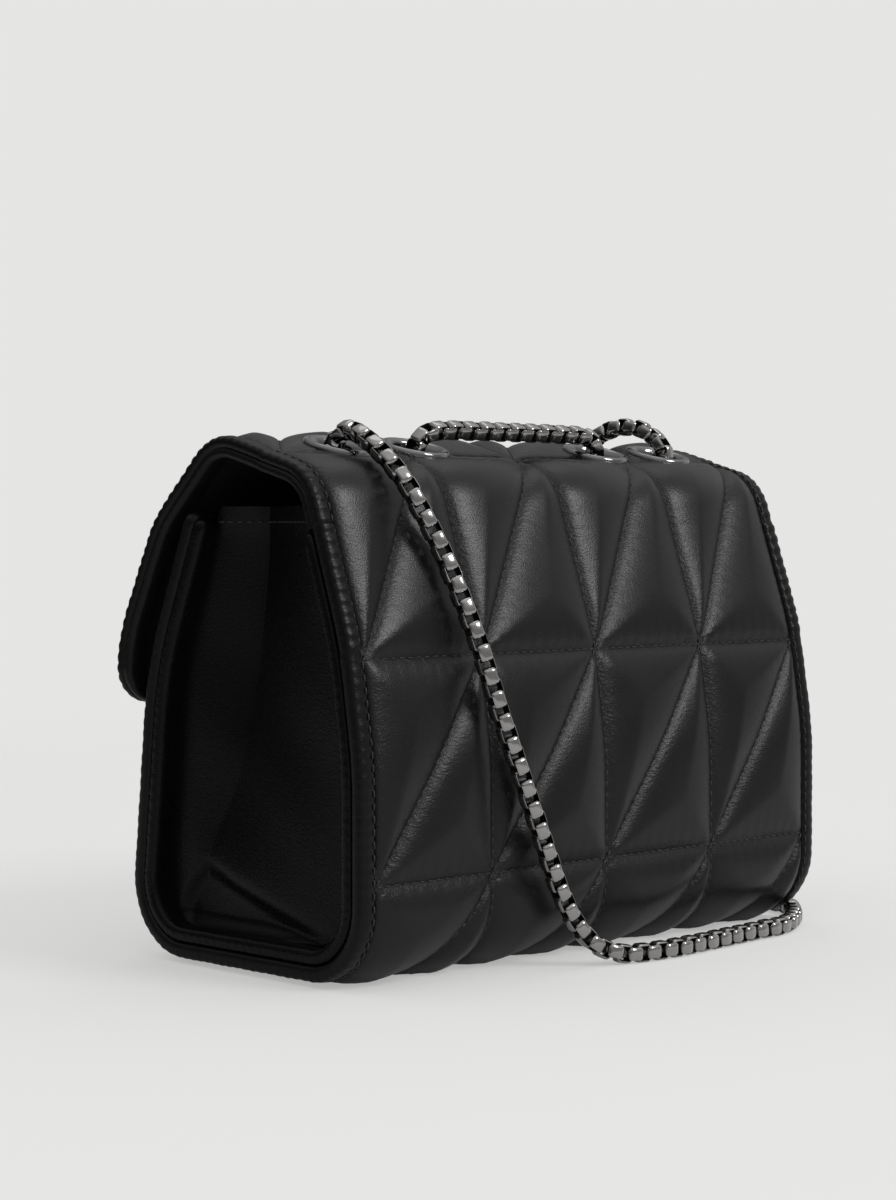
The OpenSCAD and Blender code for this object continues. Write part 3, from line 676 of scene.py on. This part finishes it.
def quilted_piece(name, first_s, last_s):
    """Padded panel between two lengths along the outline."""
    first, last = (int(np.argmin(np.abs(quilt_rows - s))) for s in (first_s, last_s))
    rows = quilt_rows[first:last + 1]
    x, s = np.meshgrid(quilt_columns, rows)
    if last_s > hinge_s:
        half = panel_half_at(s, PANEL_HALF, row_lines[-1], LIP_PANEL_RADIUS)
        seam = column_lines[3]
        beyond = (np.abs(x) - seam) * (half - seam) / (PANEL_HALF - seam)
        x = np.where(np.abs(x) > seam, np.sign(x) * (seam + beyond), x)
    depth, near = quilt(x, s)
    keep = clear_of_eyelets(x, s, EYELET_HOLE)
    outer = skin(x, s, depth)
    inner = skin(x, s, PADDING_DEPTH)
    outer[:, 2] = np.maximum(outer[:, 2], LOWEST_HIDE)
    points, faces = shell(outer, inner, grid_faces(*x.shape, keep, split=True))
    piece = new_piece(
        name, points, faces, quilt_hide, 60, np.tile(near.ravel(), 2)
    )
    return piece


def hide(name, tone, roughness, grain, gloss, crease=0.0):
    """Black hide: a fine pebbled grain, creases pulled in at the seams, worn sheen."""
    finish, shader, place = new_finish(name)
    seam = recess_of(place)
    warped = place.node(
        "ShaderNodeVectorMath", {"operation": "MULTIPLY_ADD"},
        {0: place.node("ShaderNodeTexNoise", {}, {"Vector": place, "Scale": 700.0}, "Color"),
         1: (0.0006, 0.0006, 0.0006), 2: place},
    )
    pebble = place.node(
        "ShaderNodeTexVoronoi", {"feature": "SMOOTH_F1"},
        {"Vector": warped, "Scale": 2400.0, "Smoothness": 0.6}, "Distance",
    )
    pores = noise(place, 5200, 2)
    patches = noise(place, 60, 3)
    stretched = place.node("ShaderNodeMapping", {}, {"Vector": place, "Scale": (700, 700, 1300)})
    creases = noise(stretched, 1.0, 3, 0.6)
    surface = relief(pebble, 0.00012, grain)
    surface = relief(pores, 0.00006, 0.4 * grain, surface)
    surface = relief(creases * (seam * 0.8 + crease), 0.0005, 0.8, surface)
    wire_up(shader, {
        "Base Color": blended_colour(patches, [0.8 * t for t in tone], [1.15 * t for t in tone]),
        "Roughness": roughness + 0.1 * (patches - 0.5) + 0.08 * seam + 0.12 * (pebble - 0.4),
        "Specular IOR Level": gloss,
        "Normal": surface,
    })
    return finish


def on_skin(x, s, depth, outwards=1):
    """Places of a line under the outline, and the ways its stitches face."""
    return skin(x, s, depth), unit_rows(skin(x, s, depth - outwards) - skin(x, s, depth))


THREAD_SIDES = 6
STITCH_SECTIONS = (
    (0.0, 0.5, -1.6), (0.16, 0.95, 0.0), (0.5, 1.0, 0.25), (0.84, 0.95, 0.0), (1.0, 0.5, -1.6),
)


def sewn_thread(name, lines, pitch, length, radius, lift, lowest=0, allowed=None):
    """Stitches along lines of (places, ways they face). A stitch's sections are
    (share of its length, share of its radius, rise in radii)."""
    points, faces = [], []
    tube = ring_faces(len(STITCH_SECTIONS), THREAD_SIDES, False)
    for places, facing in lines:
        lengths = length_along(places)
        count = max(1, int(round(lengths[-1] / pitch)))
        step = lengths[-1] / count
        for i in range(count):
            begin = i * step + (step - length) / 2
            at = [begin + length * section[0] for section in STITCH_SECTIONS]
            spots = rows_at(at, lengths, places)
            if allowed is not None and not allowed(spots[2]):
                continue
            outward = rows_at(at[2:3], lengths, facing)[0]
            outward /= np.linalg.norm(outward)
            way = spots[-1] - spots[0]
            way /= np.linalg.norm(way)
            across = np.cross(outward, way)
            first = len(points)
            for spot, (_, size, up) in zip(spots, STITCH_SECTIONS):
                middle = spot + outward * (lift + up * radius)
                for k in range(THREAD_SIDES):
                    a = 2 * math.pi * k / THREAD_SIDES
                    arm = math.cos(a) * across + math.sin(a) * outward
                    points.append(middle + radius * size * arm)
            faces += [tuple(k + first for k in face) for face in tube]
    points = np.array(points)
    points[:, 2] = np.maximum(points[:, 2], lowest)
    return new_piece(name, points, faces, thread_finish, sharp=60)


STITCH_PITCH = 3.4
STITCH_LENGTH = 2.7
THREAD_RADIUS = 0.3
THREAD_LIFT = 0.12
LOWEST_THREAD = 0.15
EYELET_MARGIN = 0.5
ROW_MARGIN = 0.5
SHORTEST_SEAM = 2
SEAM_STEP = 1.5


def away_from_eyelets(spot):
    """Whether a stitch at a place isn't under an eyelet's rim."""
    near = EYELET_EDGE + EYELET_MARGIN
    return all(math.dist(spot, at_eyelet(x, 0, 0)) > near for x in EYELET_XS)


def quilt_lines(first_s, last_s):
    """Seam lines of the quilting between two lengths, with the ways they face."""
    flat = [[(x, first_s), (x, last_s)] for x in column_lines[1:-1]]
    columns = list(zip(column_lines, column_lines[1:]))
    for row, (s, next_s) in enumerate(zip(row_lines, row_lines[1:])):
        if first_s - ROW_MARGIN < s < last_s - ROW_MARGIN and row > 0:
            flat += [[(a, s), (b, s)] for a, b in columns]
        low, high = max(s, first_s), min(next_s, last_s)
        if high - low > SHORTEST_SEAM:
            for a, b in columns:
                flat.append([(b - (b - a) * (end - s) / (next_s - s), end) for end in (low, high)])
    lines = []
    for (xa, sa), (xb, sb) in flat:
        t = np.linspace(0, 1, max(2, int(math.hypot(xb - xa, sb - sa) / SEAM_STEP)))
        x, s = xa + (xb - xa) * t, sa + (sb - sa) * t
        lines.append(on_skin(x, s, quilt(x, s)[0]))
    return lines


thread_finish, thread_shader, thread_place = new_finish("black_thread")
twist = thread_place.node(
    "ShaderNodeTexWave", {"wave_type": "BANDS", "bands_direction": "DIAGONAL"},
    {"Vector": thread_place, "Scale": 1400.0, "Distortion": 1.0},
)
wire_up(thread_shader, {
    "Base Color": blended_colour(twist, (0.006, 0.006, 0.0065), (0.018, 0.018, 0.019)),
    "Roughness": 0.42 + 0.1 * twist,
    "Normal": relief(twist, 0.00008, 0.5),
})
quilt_hide = hide("quilted_black_hide", (0.0034, 0.0032, 0.0036), 0.3, 0.3, 0.4)


def move_with(body, *pieces):
    """Fixes pieces to the body; for the front or flap, bakes their placement into their meshes."""
    for piece in pieces:
        if body == "body":
            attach(piece, "body")
        else:
            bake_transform(piece)


for name, first_s, last_s, nodes, body in (
    ("quilted_back_and_base", pivot_s, hinge_s, ("back_panel", "bottom_panel"), "body"),
    ("quilted_front", BINDING_WIDTH, pivot_s, ("front_panel",), "front"),
    ("quilted_flap", hinge_s, row_lines[-1], ("flap_panel",), "flap"),
):
    panel = quilted_piece(name, first_s, last_s)
    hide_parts(*nodes)
    stitches = sewn_thread(
        f"{name}_stitches", quilt_lines(first_s, last_s), STITCH_PITCH,
        STITCH_LENGTH, THREAD_RADIUS, THREAD_LIFT, LOWEST_THREAD, away_from_eyelets,
    )
    move_with(body, panel, stitches)

# Bound edges
# Strips of the same hide folded round the raw edges of the front, of the base
# and back, and of the flap, and sewn through. Thread pulls short puckers across
# them.
PUCKER_PITCH = 3.7
BAND_STEP = 0.93
BAG_HALF = 105
LIP_RADIUS = 12
MOUTH_RADIUS = 4
ARC_STEPS = 14
LAP_RISE = 0.4
LOWEST_EDGE = 0.2
LOWEST_EDGE_THREAD = 0.12
EDGE_STITCH_INSET = -4.9
SINGLE_EDGE = [
    (-6, 2.5, 0), (-5.3, 1.75, 1), (-4.2, 1.5, 1), (-2.6, 1.45, 0.8), (-1.2, 1.6, 0.7),
    (-0.35, 2.05, 0.7), (0, 2.8, 0.5), (0.05, 4.1, 0.1), (-0.05, 5.3, 0.3), (-0.5, 6.1, 0.2),
    (-1.3, 6.4, 0), (-6, 6.4, 0),
]
DOUBLE_EDGE = SINGLE_EDGE[:7] + [
    (0, 3.9, 0.3), (-0.3, 4.6, 0.1), (-0.85, 4.95, 0), (-0.3, 5.3, 0.1), (0, 6, 0.3), (0, 7, 0.3),
    (-0.45, 7.7, 0.2), (-1.3, 8, 0), (-6, 8, 0),
]


def edge_path(line):
    """Even points and outward ways along an edge, and the length to each."""
    line = np.asarray(line, float)
    lengths = length_along(line)
    at = np.linspace(0, lengths[-1], max(3, int(round(lengths[-1] / BAND_STEP)) + 1))
    spots = rows_at(at, lengths, line)
    ways = unit_rows(np.gradient(spots, axis=0))
    return spots, np.column_stack([-ways[:, 1], ways[:, 0]]), at


def three_sides(from_s, end_s, radius):
    """Line along the right edge, round an end's two corners and back on the left."""
    way = 1 if end_s > from_s else -1
    angles = np.radians(np.linspace(0, 90, ARC_STEPS))
    x = np.r_[BAG_HALF, BAG_HALF - radius * (1 - np.cos(angles))]
    s = np.r_[from_s, end_s - way * radius * (1 - np.sin(angles))]
    return np.column_stack([np.r_[x, -x[::-1]], np.r_[s, s[::-1]]])


def bound_edge(
    name, line, profile, finish, slot, turned=1, swell=None, pull=lambda s: 0.3, closed=(0, 0)
):
    """Strip of a profile of (outwards, depth, pucker) along an edge, its ends closed.

    Swell lifts it and pull puckers it, by the place; closed rounds its two ends.
    """
    spots, outs, at = edge_path(line)
    outs = outs * turned
    points = []
    profile_out, profile_depth, soft = np.array(profile).T
    middle_out, middle_depth = profile_out.mean(), profile_depth.mean()
    for spot, out, way in zip(spots, outs, at):
        pinch = abs(math.sin(math.pi * way / PUCKER_PITCH + 0.6 * math.sin(way / 9)))
        pinch = pull(spot[1]) * (pinch - 0.6) + 0.06 * math.sin(way / 2.3)
        lift = swell(spot) if swell else 0
        outwards = profile_out + 0.5 * pinch * soft
        depth = profile_depth - pinch * soft - lift * (soft > 0)
        for end, distance in zip(closed, (way, at[-1] - way)):
            if distance < end:
                full = 0.3 + 0.7 * math.sqrt(1 - (1 - distance / end) ** 2)
                outwards = middle_out + (outwards - middle_out) * full
                depth = middle_depth + (depth - middle_depth) * full
        points.append(skin(spot[0] + out[0] * outwards, spot[1] + out[1] * outwards, depth))
    points = np.vstack(points)
    points[:, 2] = np.maximum(points[:, 2], LOWEST_EDGE)
    faces = ring_faces(len(spots), len(profile), False)
    return new_piece(name, points, faces, finish), spots, outs


def edge_stitches(name, spots, outs, depth):
    """Row of stitches along a bound edge, one to a pucker."""
    x, s = (spots + outs * EDGE_STITCH_INSET).T
    line = on_skin(x, s, depth)
    return sewn_thread(
        name, [line], PUCKER_PITCH, 2.6, 0.27, 0.1, LOWEST_EDGE_THREAD
    )


EDGE_LOOK = (
    hide("edge_black_hide", (0.003, 0.0029, 0.0032), 0.32, 0.35, 0.22, 0.25), "edge_leather"
)
back_joint_s = row_lines[5] + 1.5
for side, word in SIDES:
    edge = side * BAG_HALF
    band, spots, outs = bound_edge(
        f"bound_edge_body_{word}", [(edge, pivot_s), (edge, hinge_s)], SINGLE_EDGE, *EDGE_LOOK,
        turned=-side, swell=lambda spot: LAP_RISE * eased(spot[1], back_joint_s, back_joint_s + 1),
        pull=lambda s: 0.25 + 0.35 * eased(s, back_joint_s, back_joint_s + 8),
    )
    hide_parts(f"body_binding_{word}")
    move_with("body", band, edge_stitches(f"edge_stitches_body_{word}", spots, outs, 1.55))

band, spots, outs = bound_edge(
    "bound_edge_front", three_sides(pivot_s, 0, MOUTH_RADIUS), SINGLE_EDGE, *EDGE_LOOK
)
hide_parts("front_binding")
move_with("front", band, edge_stitches("edge_stitches_front", spots, outs, 1.55))

joint_s = crest_row + 3
band, spots, outs = bound_edge(
    "bound_edge_flap", three_sides(hinge_s, lip_s, LIP_RADIUS), DOUBLE_EDGE, *EDGE_LOOK,
    turned=-1, swell=lambda spot: LAP_RISE * eased(spot[1], joint_s, joint_s + 1.2),
    pull=lambda s: 0.55,
)
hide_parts("flap_binding")
move_with("flap", band, edge_stitches("edge_stitches_flap", spots, outs, 1.4))

# End panels
# Each is one piece of soft hide with an inward fold down its middle, a turned
# hem along the top and a flange sewn behind the bound edges.
GUSSET_DEPTH = 10.6
GUSSET_FACE = 98.4
GUSSET_THICKNESS = 1.4
FOLD = 10
PLEAT_FOOT = 33
PLEAT_EDGE = 12
PLEAT_RUN = 7
PLEAT_TUCK = 2.4
PLEAT_SWELL = 1.6
FLANGE_START = 0.5
FLANGE_ROUNDING = 4
HEM_HEIGHT = 141.2
HEM_RISE = 0.45
HEM_FOOT = HEM_HEIGHT - 7.4
HEM_TOP = HEM_HEIGHT - 6.4
HEM_STITCHES = HEM_HEIGHT - 5.9
# Share of the height, share of the fold's depth, share of the way from front to back
GUSSET_ROWS = [
    (0, 0, 0.15), (0.03, 0, 0.16), (0.08, 0.02, 0.18), (0.16, 0.08, 0.2), (0.28, 0.25, 0.26),
    (0.36, 0.4, 0.33), (0.5, 0.6, 0.35), (0.65, 0.8, 0.365), (0.85, 0.95, 0.34), (1, 1, 0.27),
]
FLANGE = [
    (-8, 6.75, 0), (-3, 6.7, 0), (-1, 6.75, 0.2), (-0.25, 7.1, 0.5), (0.05, 7.9, 0.6),
    (0.05, 9.4, 0.6), (-0.3, 10.5, 0.5), (-1, 11.1, 0.3), (-3, 11.3, 0), (-8, 11.1, 0),
]
# The end panels' hide has a darker tone than the quilted hide's: painted shade, as the ends stand
# in shade.
GUSSET_LOOK = (
    hide("end_black_hide_painted_shade", (0.0022, 0.0021, 0.0024), 0.26, 0.35, 0.17, 0.25), "gusset_leather"
)


def height_lookup(depth, first_s, last_s, reach_up):
    """Heights, and the Y at each, along one side of the bag at a depth."""
    s = np.arange(first_s, last_s, 1.0)
    line = skin(0, s, depth)[:, 1:]
    order = np.argsort(line[:, 1])
    line = line[order]
    if reach_up:
        way = line[-1] - line[-6]
        line = np.vstack([line, line[-1] + way / np.linalg.norm(way) * reach_up])
    return line[:, 1], line[:, 0]


def softened(share, column, step):
    """Column of the rows' table at shares of the height, averaged over five steps."""
    table = np.array(GUSSET_ROWS)
    near = [np.clip(share + k * step, 0, 1) for k in (-2, -1, 0, 1, 2)]
    return sum(np.interp(at, table[:, 0], table[:, column]) for at in near) / len(near)


def gusset_grid(depth, face, top, rows=64, columns=61):
    """Folded sheet between the front and the back, as grids of X, Y and Z.

    Across it, c runs from -1 at the front to 1 at the back, with the fold at 0.
    """
    front_z, front_y = height_lookup(depth, 0, base_middle - 2, 12)
    back_z, back_y = height_lookup(depth, base_middle + 2, hinge_s + 12, 0)
    share = np.linspace(0, 1, rows) ** 1.15
    c = np.linspace(-1, 1, columns)
    c = np.sign(c) * np.abs(c) ** 1.35
    share, c = np.meshgrid(share, c, indexing="ij")
    z = depth + (top - depth) * share
    y_front = np.interp(z, front_z, front_y)
    y_back = np.interp(z, back_z, back_y)
    fold, crease = softened(share, 1, 0.03), softened(share, 2, 0.04)
    y_crease = y_front + (y_back - y_front) * crease
    y = y_crease + c * np.where(c < 0, y_crease - y_front, y_back - y_crease)
    inwards = np.clip(1 - np.sqrt(c**2 + 0.025**2), 0, 1) ** np.where(c < 0, 2.0, 0.95)
    loose = np.clip(1 - np.abs(c), 0, 1) ** 0.5
    slack = 0.5 * np.sin(y / 11 + z / 17) * np.sin(z / 13 + 1) * loose
    ridge = PLEAT_FOOT * (1 - np.abs(c)) + PLEAT_EDGE * np.abs(c)
    over_ridge = eased(z, ridge - PLEAT_RUN, ridge)
    tucked = PLEAT_TUCK * (1 - over_ridge) * eased(z, 11, 15)
    swollen = PLEAT_SWELL * np.exp(-((z - ridge) / 16) ** 2) * over_ridge * (c > 0)
    swollen = swollen * loose * np.clip(c * 5, 0, 1)
    x = face - FOLD * fold * inwards + slack * np.clip(share * 6, 0, 1) - tucked + swollen
    return x, y, z


def folded_piece(name, side, grids, rise, thickness, finish, slot):
    """Sheet of a thickness on one side of the bag, and the grid of its outer places."""
    x, y, z = grids
    outer = np.stack([side * (x + rise), y, z], axis=-1)
    inner = np.stack([side * (x - thickness), y, z], axis=-1)
    points, faces = shell(outer.reshape(-1, 3), inner.reshape(-1, 3), grid_faces(*x.shape))
    return new_piece(name, points, faces, finish), outer


gusset_grids = gusset_grid(GUSSET_DEPTH, GUSSET_FACE, HEM_HEIGHT)
heights = gusset_grids[2]
hem = HEM_RISE * eased(heights, HEM_FOOT, HEM_TOP)
row = int(np.argmin(np.abs(heights[:, 0] - HEM_STITCHES)))
for side, word in SIDES:
    panel, outer = folded_piece(
        f"end_panel_{word}", side, gusset_grids, hem, GUSSET_THICKNESS, *GUSSET_LOOK
    )
    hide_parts(f"gusset_{word}")
    across, up = np.gradient(outer, axis=1)[row], np.gradient(outer, axis=0)[row]
    facing = unit_rows(side * np.cross(across, up))
    hem_thread = sewn_thread(
        f"hem_stitches_{word}", [(outer[row], facing)], 3.1, 2.3, 0.26, 0.15
    )
    for piece in (panel, hem_thread):
        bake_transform(piece)
    edge = side * BAG_HALF
    for where, first_s, last_s, closed in (
        ("front", FLANGE_START, pivot_s, (FLANGE_ROUNDING, 0)),
        ("body", pivot_s, hinge_s, (0, FLANGE_ROUNDING)),
    ):
        flange, _, _ = bound_edge(
            f"end_flange_{where}_{word}", [(edge, first_s), (edge, last_s)], FLANGE, *GUSSET_LOOK,
            turned=-side, closed=closed,
        )
        move_with(where, flange)

# Linings and pocket
# Woven black lining, glued to thin boards inside the hide, with a slip pocket
# on the back.
LINING_THICKNESS = 0.8
LINING_DEPTH = 6.7
FLAP_LINING_DEPTH = 6.5
LINING_HALF = 96.7
LINING_STEP = 2.0
FLAP_LINING_STEP = 1.5
LINING_HOLE = 8.9
LINING_GAP = 0.2
SOLE_EDGE_HEIGHT = 25


def twill(name, tone):
    """Close black twill: fine diagonal ribs, nearly without gloss."""
    finish, shader, place = new_finish(name)
    ribs = place.node(
        "ShaderNodeTexWave", {"wave_type": "BANDS", "bands_direction": "DIAGONAL"},
        {"Vector": place, "Scale": 700.0, "Distortion": 0.6, "Detail": 1.0},
    )
    slubs = noise(place, 300, 3)
    wire_up(shader, {
        "Base Color": blended_colour(ribs * 0.7 + slubs * 0.3, [0.6 * t for t in tone], tone),
        "Roughness": 0.7 + 0.15 * slubs,
        "Specular IOR Level": 0.1,
        "Normal": relief(ribs, 0.00012, 0.6),
    })
    return finish


# The lining is black twill, and its tone is set darker still: painted shade for the dark inside of
# the bag.
lining_twill = twill("black_lining_twill_painted_shade", (0.008, 0.008, 0.009))


def lining_sheet(name, first_s, last_s, depth, half, flap=False):
    """Sheet of lining at a depth; the flap's has rounded corners and holes."""
    s_values = np.linspace(first_s, last_s, max(3, int((last_s - first_s) / LINING_STEP)))
    step = FLAP_LINING_STEP if flap else LINING_STEP
    x, s = np.meshgrid(np.linspace(-half, half, int(2 * half / step)), s_values)
    keep = None
    if flap:
        x = x * panel_half_at(s, half, last_s, LIP_PANEL_RADIUS) / half
        keep = clear_of_eyelets(x, s, LINING_HOLE)
    points, faces = shell(
        skin(x, s, depth), skin(x, s, depth + LINING_THICKNESS), grid_faces(*x.shape, keep)
    )
    return new_piece(name, points, faces, lining_twill)


sole_s = length_at_height(SOLE_EDGE_HEIGHT, base_middle, hinge_s)
for word, node, body, first_s, last_s in (
    ("back", "back_lining", "body", sole_s, hinge_s - LINING_GAP),
    ("base", "bottom_lining", "body", pivot_s + LINING_GAP, sole_s),
    ("front", "front_lining", "front", BINDING_WIDTH, pivot_s - LINING_GAP),
    ("flap", "flap_lining", "flap", hinge_s + LINING_GAP, lip_s - BINDING_WIDTH),
):
    flap = body == "flap"
    depth, half = (FLAP_LINING_DEPTH, PANEL_HALF) if flap else (LINING_DEPTH, LINING_HALF)
    sheet = lining_sheet(f"lining_{word}", first_s, last_s, depth, half, flap)
    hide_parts(node)
    round(2 * half * MM, 4)
    round((last_s - first_s) * MM, 4)
    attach(sheet, body)

lining_grids = gusset_grid(7.8, GUSSET_FACE - 1.7, HEM_HEIGHT - 2.5, 40, 41)
for side, word in SIDES:
    panel, _ = folded_piece(
        f"lining_end_{word}", side, lining_grids, 0, LINING_THICKNESS, lining_twill,
        "lining_fabric",
    )
    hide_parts(f"gusset_lining_{word}")
    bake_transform(panel)

POCKET_HALF = 65
POCKET_DEPTH = 7.55
POCKET_HEIGHTS = (42, 112)
POCKET_STITCH_INSET = 3.0
POCKET_MOUTH_INSET = 12.0
pocket_first, pocket_last = (length_at_height(z, base_middle, hinge_s) for z in POCKET_HEIGHTS)
pocket = lining_sheet("slip_pocket_sheet", pocket_first, pocket_last, POCKET_DEPTH, POCKET_HALF)
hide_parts("slip_pocket")
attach(pocket, "body")
edge = POCKET_HALF - POCKET_STITCH_INSET
foot, mouth = pocket_first + POCKET_STITCH_INSET, pocket_last - POCKET_MOUTH_INSET
face = POCKET_DEPTH + LINING_THICKNESS
sewn = [(-edge, pocket_last), (-edge, foot), (edge, foot), (edge, pocket_last)]
lines = []
for corners in (sewn, [(-edge, mouth), (edge, mouth)]):
    for (xa, sa), (xb, sb) in zip(corners, corners[1:]):
        t = np.linspace(0, 1, 40)
        lines.append(on_skin(xa + (xb - xa) * t, sa + (sb - sa) * t, face, outwards=-1))
pocket_thread = sewn_thread("pocket_stitches", lines, 3.1, 2.4, 0.2, 0.12)
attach(pocket_thread, "body")
crease_strip = lining_sheet("lining_crease_strip", hinge_s - 6, hinge_s + 12, 7.4, 96)
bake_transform(crease_strip)

# Boards and magnets
# Thin grey board stiffens the back, base, front and flap, and two plated magnets
# lie hidden in the padding of the flap and front.
card, card_shader, card_place = new_finish("grey_stiffener_board")
fibres = noise(card_place, 900, 4, 0.7)
wire_up(card_shader, {
    "Base Color": blended_colour(fibres, (0.20, 0.18, 0.15), (0.34, 0.31, 0.26)),
    "Roughness": 0.8 + 0.1 * fibres,
    "Normal": relief(fibres, 0.0001, 0.4),
})
magnet_nickel = nickel("bright_nickel_magnets", (0.6, 0.6, 0.61), 0.2)
for node in ("back_board", "base_board", "front_board", "flap_board"):
    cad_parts[node].material_slots[0].material = card
for node in ("flap_magnet", "front_magnet"):
    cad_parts[node].material_slots[0].material = magnet_nickel

# Floor and light
# The pale floor is half see-through near the bag, which keeps its shadow light,
# and runs out into a pale surround. A soft lamp behind the bag gives the hide its
# sheen, a weak one overhead fills in, and reflections see a few soft boxes.
floor_mesh = bpy.data.meshes.new("floor")
floor_mesh.from_pydata([(-3, -3, 0), (3, -3, 0), (3, 3, 0), (-3, 3, 0)], [], [(0, 1, 2, 3)])
floor = bpy.data.objects.new("floor", floor_mesh)
scene.collection.objects.link(floor)
floor_finish, floor_shader, floor_place = new_finish("pale_floor")
floor_mesh.materials.append(floor_finish)
wire_up(floor_shader, {
    "Base Color": (0.80, 0.80, 0.795, 1), "Roughness": 0.9, "Specular IOR Level": 0.1,
})
far = floor_place.node("ShaderNodeVectorMath", {"operation": "LENGTH"}, {0: floor_place}, "Value")
fade = far.node(
    "ShaderNodeMapRange", {"interpolation_type": "SMOOTHSTEP"},
    {"Value": far, "From Min": 0.35, "From Max": 1.3, "To Min": 0.5},
)
clear = far.tree.nodes.new("ShaderNodeBsdfTransparent")
mixed = far.tree.nodes.new("ShaderNodeMixShader")
wire_up(mixed, {0: fade, 1: Wire(floor_shader.outputs[0]), 2: Wire(clear.outputs[0])})
far.tree.links.new(mixed.outputs[0], far.tree.nodes["Material Output"].inputs["Surface"])

world = bpy.data.worlds.new("surround")
scene.world = world
world.use_nodes = True
air = world.node_tree
paths = air.nodes.new("ShaderNodeLightPath").outputs
seen = Wire(paths["Is Camera Ray"])
rays = seen + Wire(paths["Is Glossy Ray"]) + Wire(paths["Is Transmission Ray"])
way = Wire(air.nodes.new("ShaderNodeTexCoord").outputs["Generated"])


def soft_box(direction, start, end, dim, bright):
    """Brightness of the surround, rising towards a direction."""
    dot = {"operation": "DOT_PRODUCT"}
    facing = way.node("ShaderNodeVectorMath", dot, {0: way, 1: direction}, "Value")
    return facing.node(
        "ShaderNodeMapRange", {"interpolation_type": "SMOOTHSTEP"},
        {"Value": facing, "From Min": start, "From Max": end, "To Min": dim, "To Max": bright},
    )


room = (
    soft_box((-0.5, 0.866, 0.0), -0.7, 0.5, 0.03, 0.32)
    + soft_box((0.0, 0.0, 1.0), 0.2, 0.85, 0.0, 0.5)
    + soft_box((-1.0, 0.0, 0.0), 0.76, 0.97, 0.0, 0.3)
    + soft_box((-0.5, -0.866, 0.0), 0.82, 1.0, 0.0, 0.35)
)
shown = air.nodes["Background"]
wire_up(shown, {"Color": (0.784, 0.784, 0.776, 1), "Strength": seen + (1 - seen) * room})
ambient = air.nodes.new("ShaderNodeBackground")
wire_up(ambient, {"Color": (1, 1, 1, 1), "Strength": 0.74})
both = air.nodes.new("ShaderNodeMixShader")
wire_up(both, {0: rays, 1: Wire(ambient.outputs[0]), 2: Wire(shown.outputs[0])})
air.links.new(both.outputs[0], air.nodes["World Output"].inputs["Surface"])


def soft_lamp(name, place, target, size, power):
    """Square area lamp aimed at a point."""
    lamp = bpy.data.lights.new(name, "AREA")
    lamp.size = size
    lamp.energy = power
    holder = bpy.data.objects.new(name, lamp)
    holder.location = place
    way = Vector(target) - Vector(place)
    holder.rotation_euler = way.to_track_quat("-Z", "Y").to_euler()
    scene.collection.objects.link(holder)


soft_lamp("overhead_lamp", (-0.6, -0.4, 2.6), (0, 0, 0), 1.6, 5)
soft_lamp("key_lamp", (-0.62, 2.28, 1.84), (0, 0, 0.1), 0.95, 31)
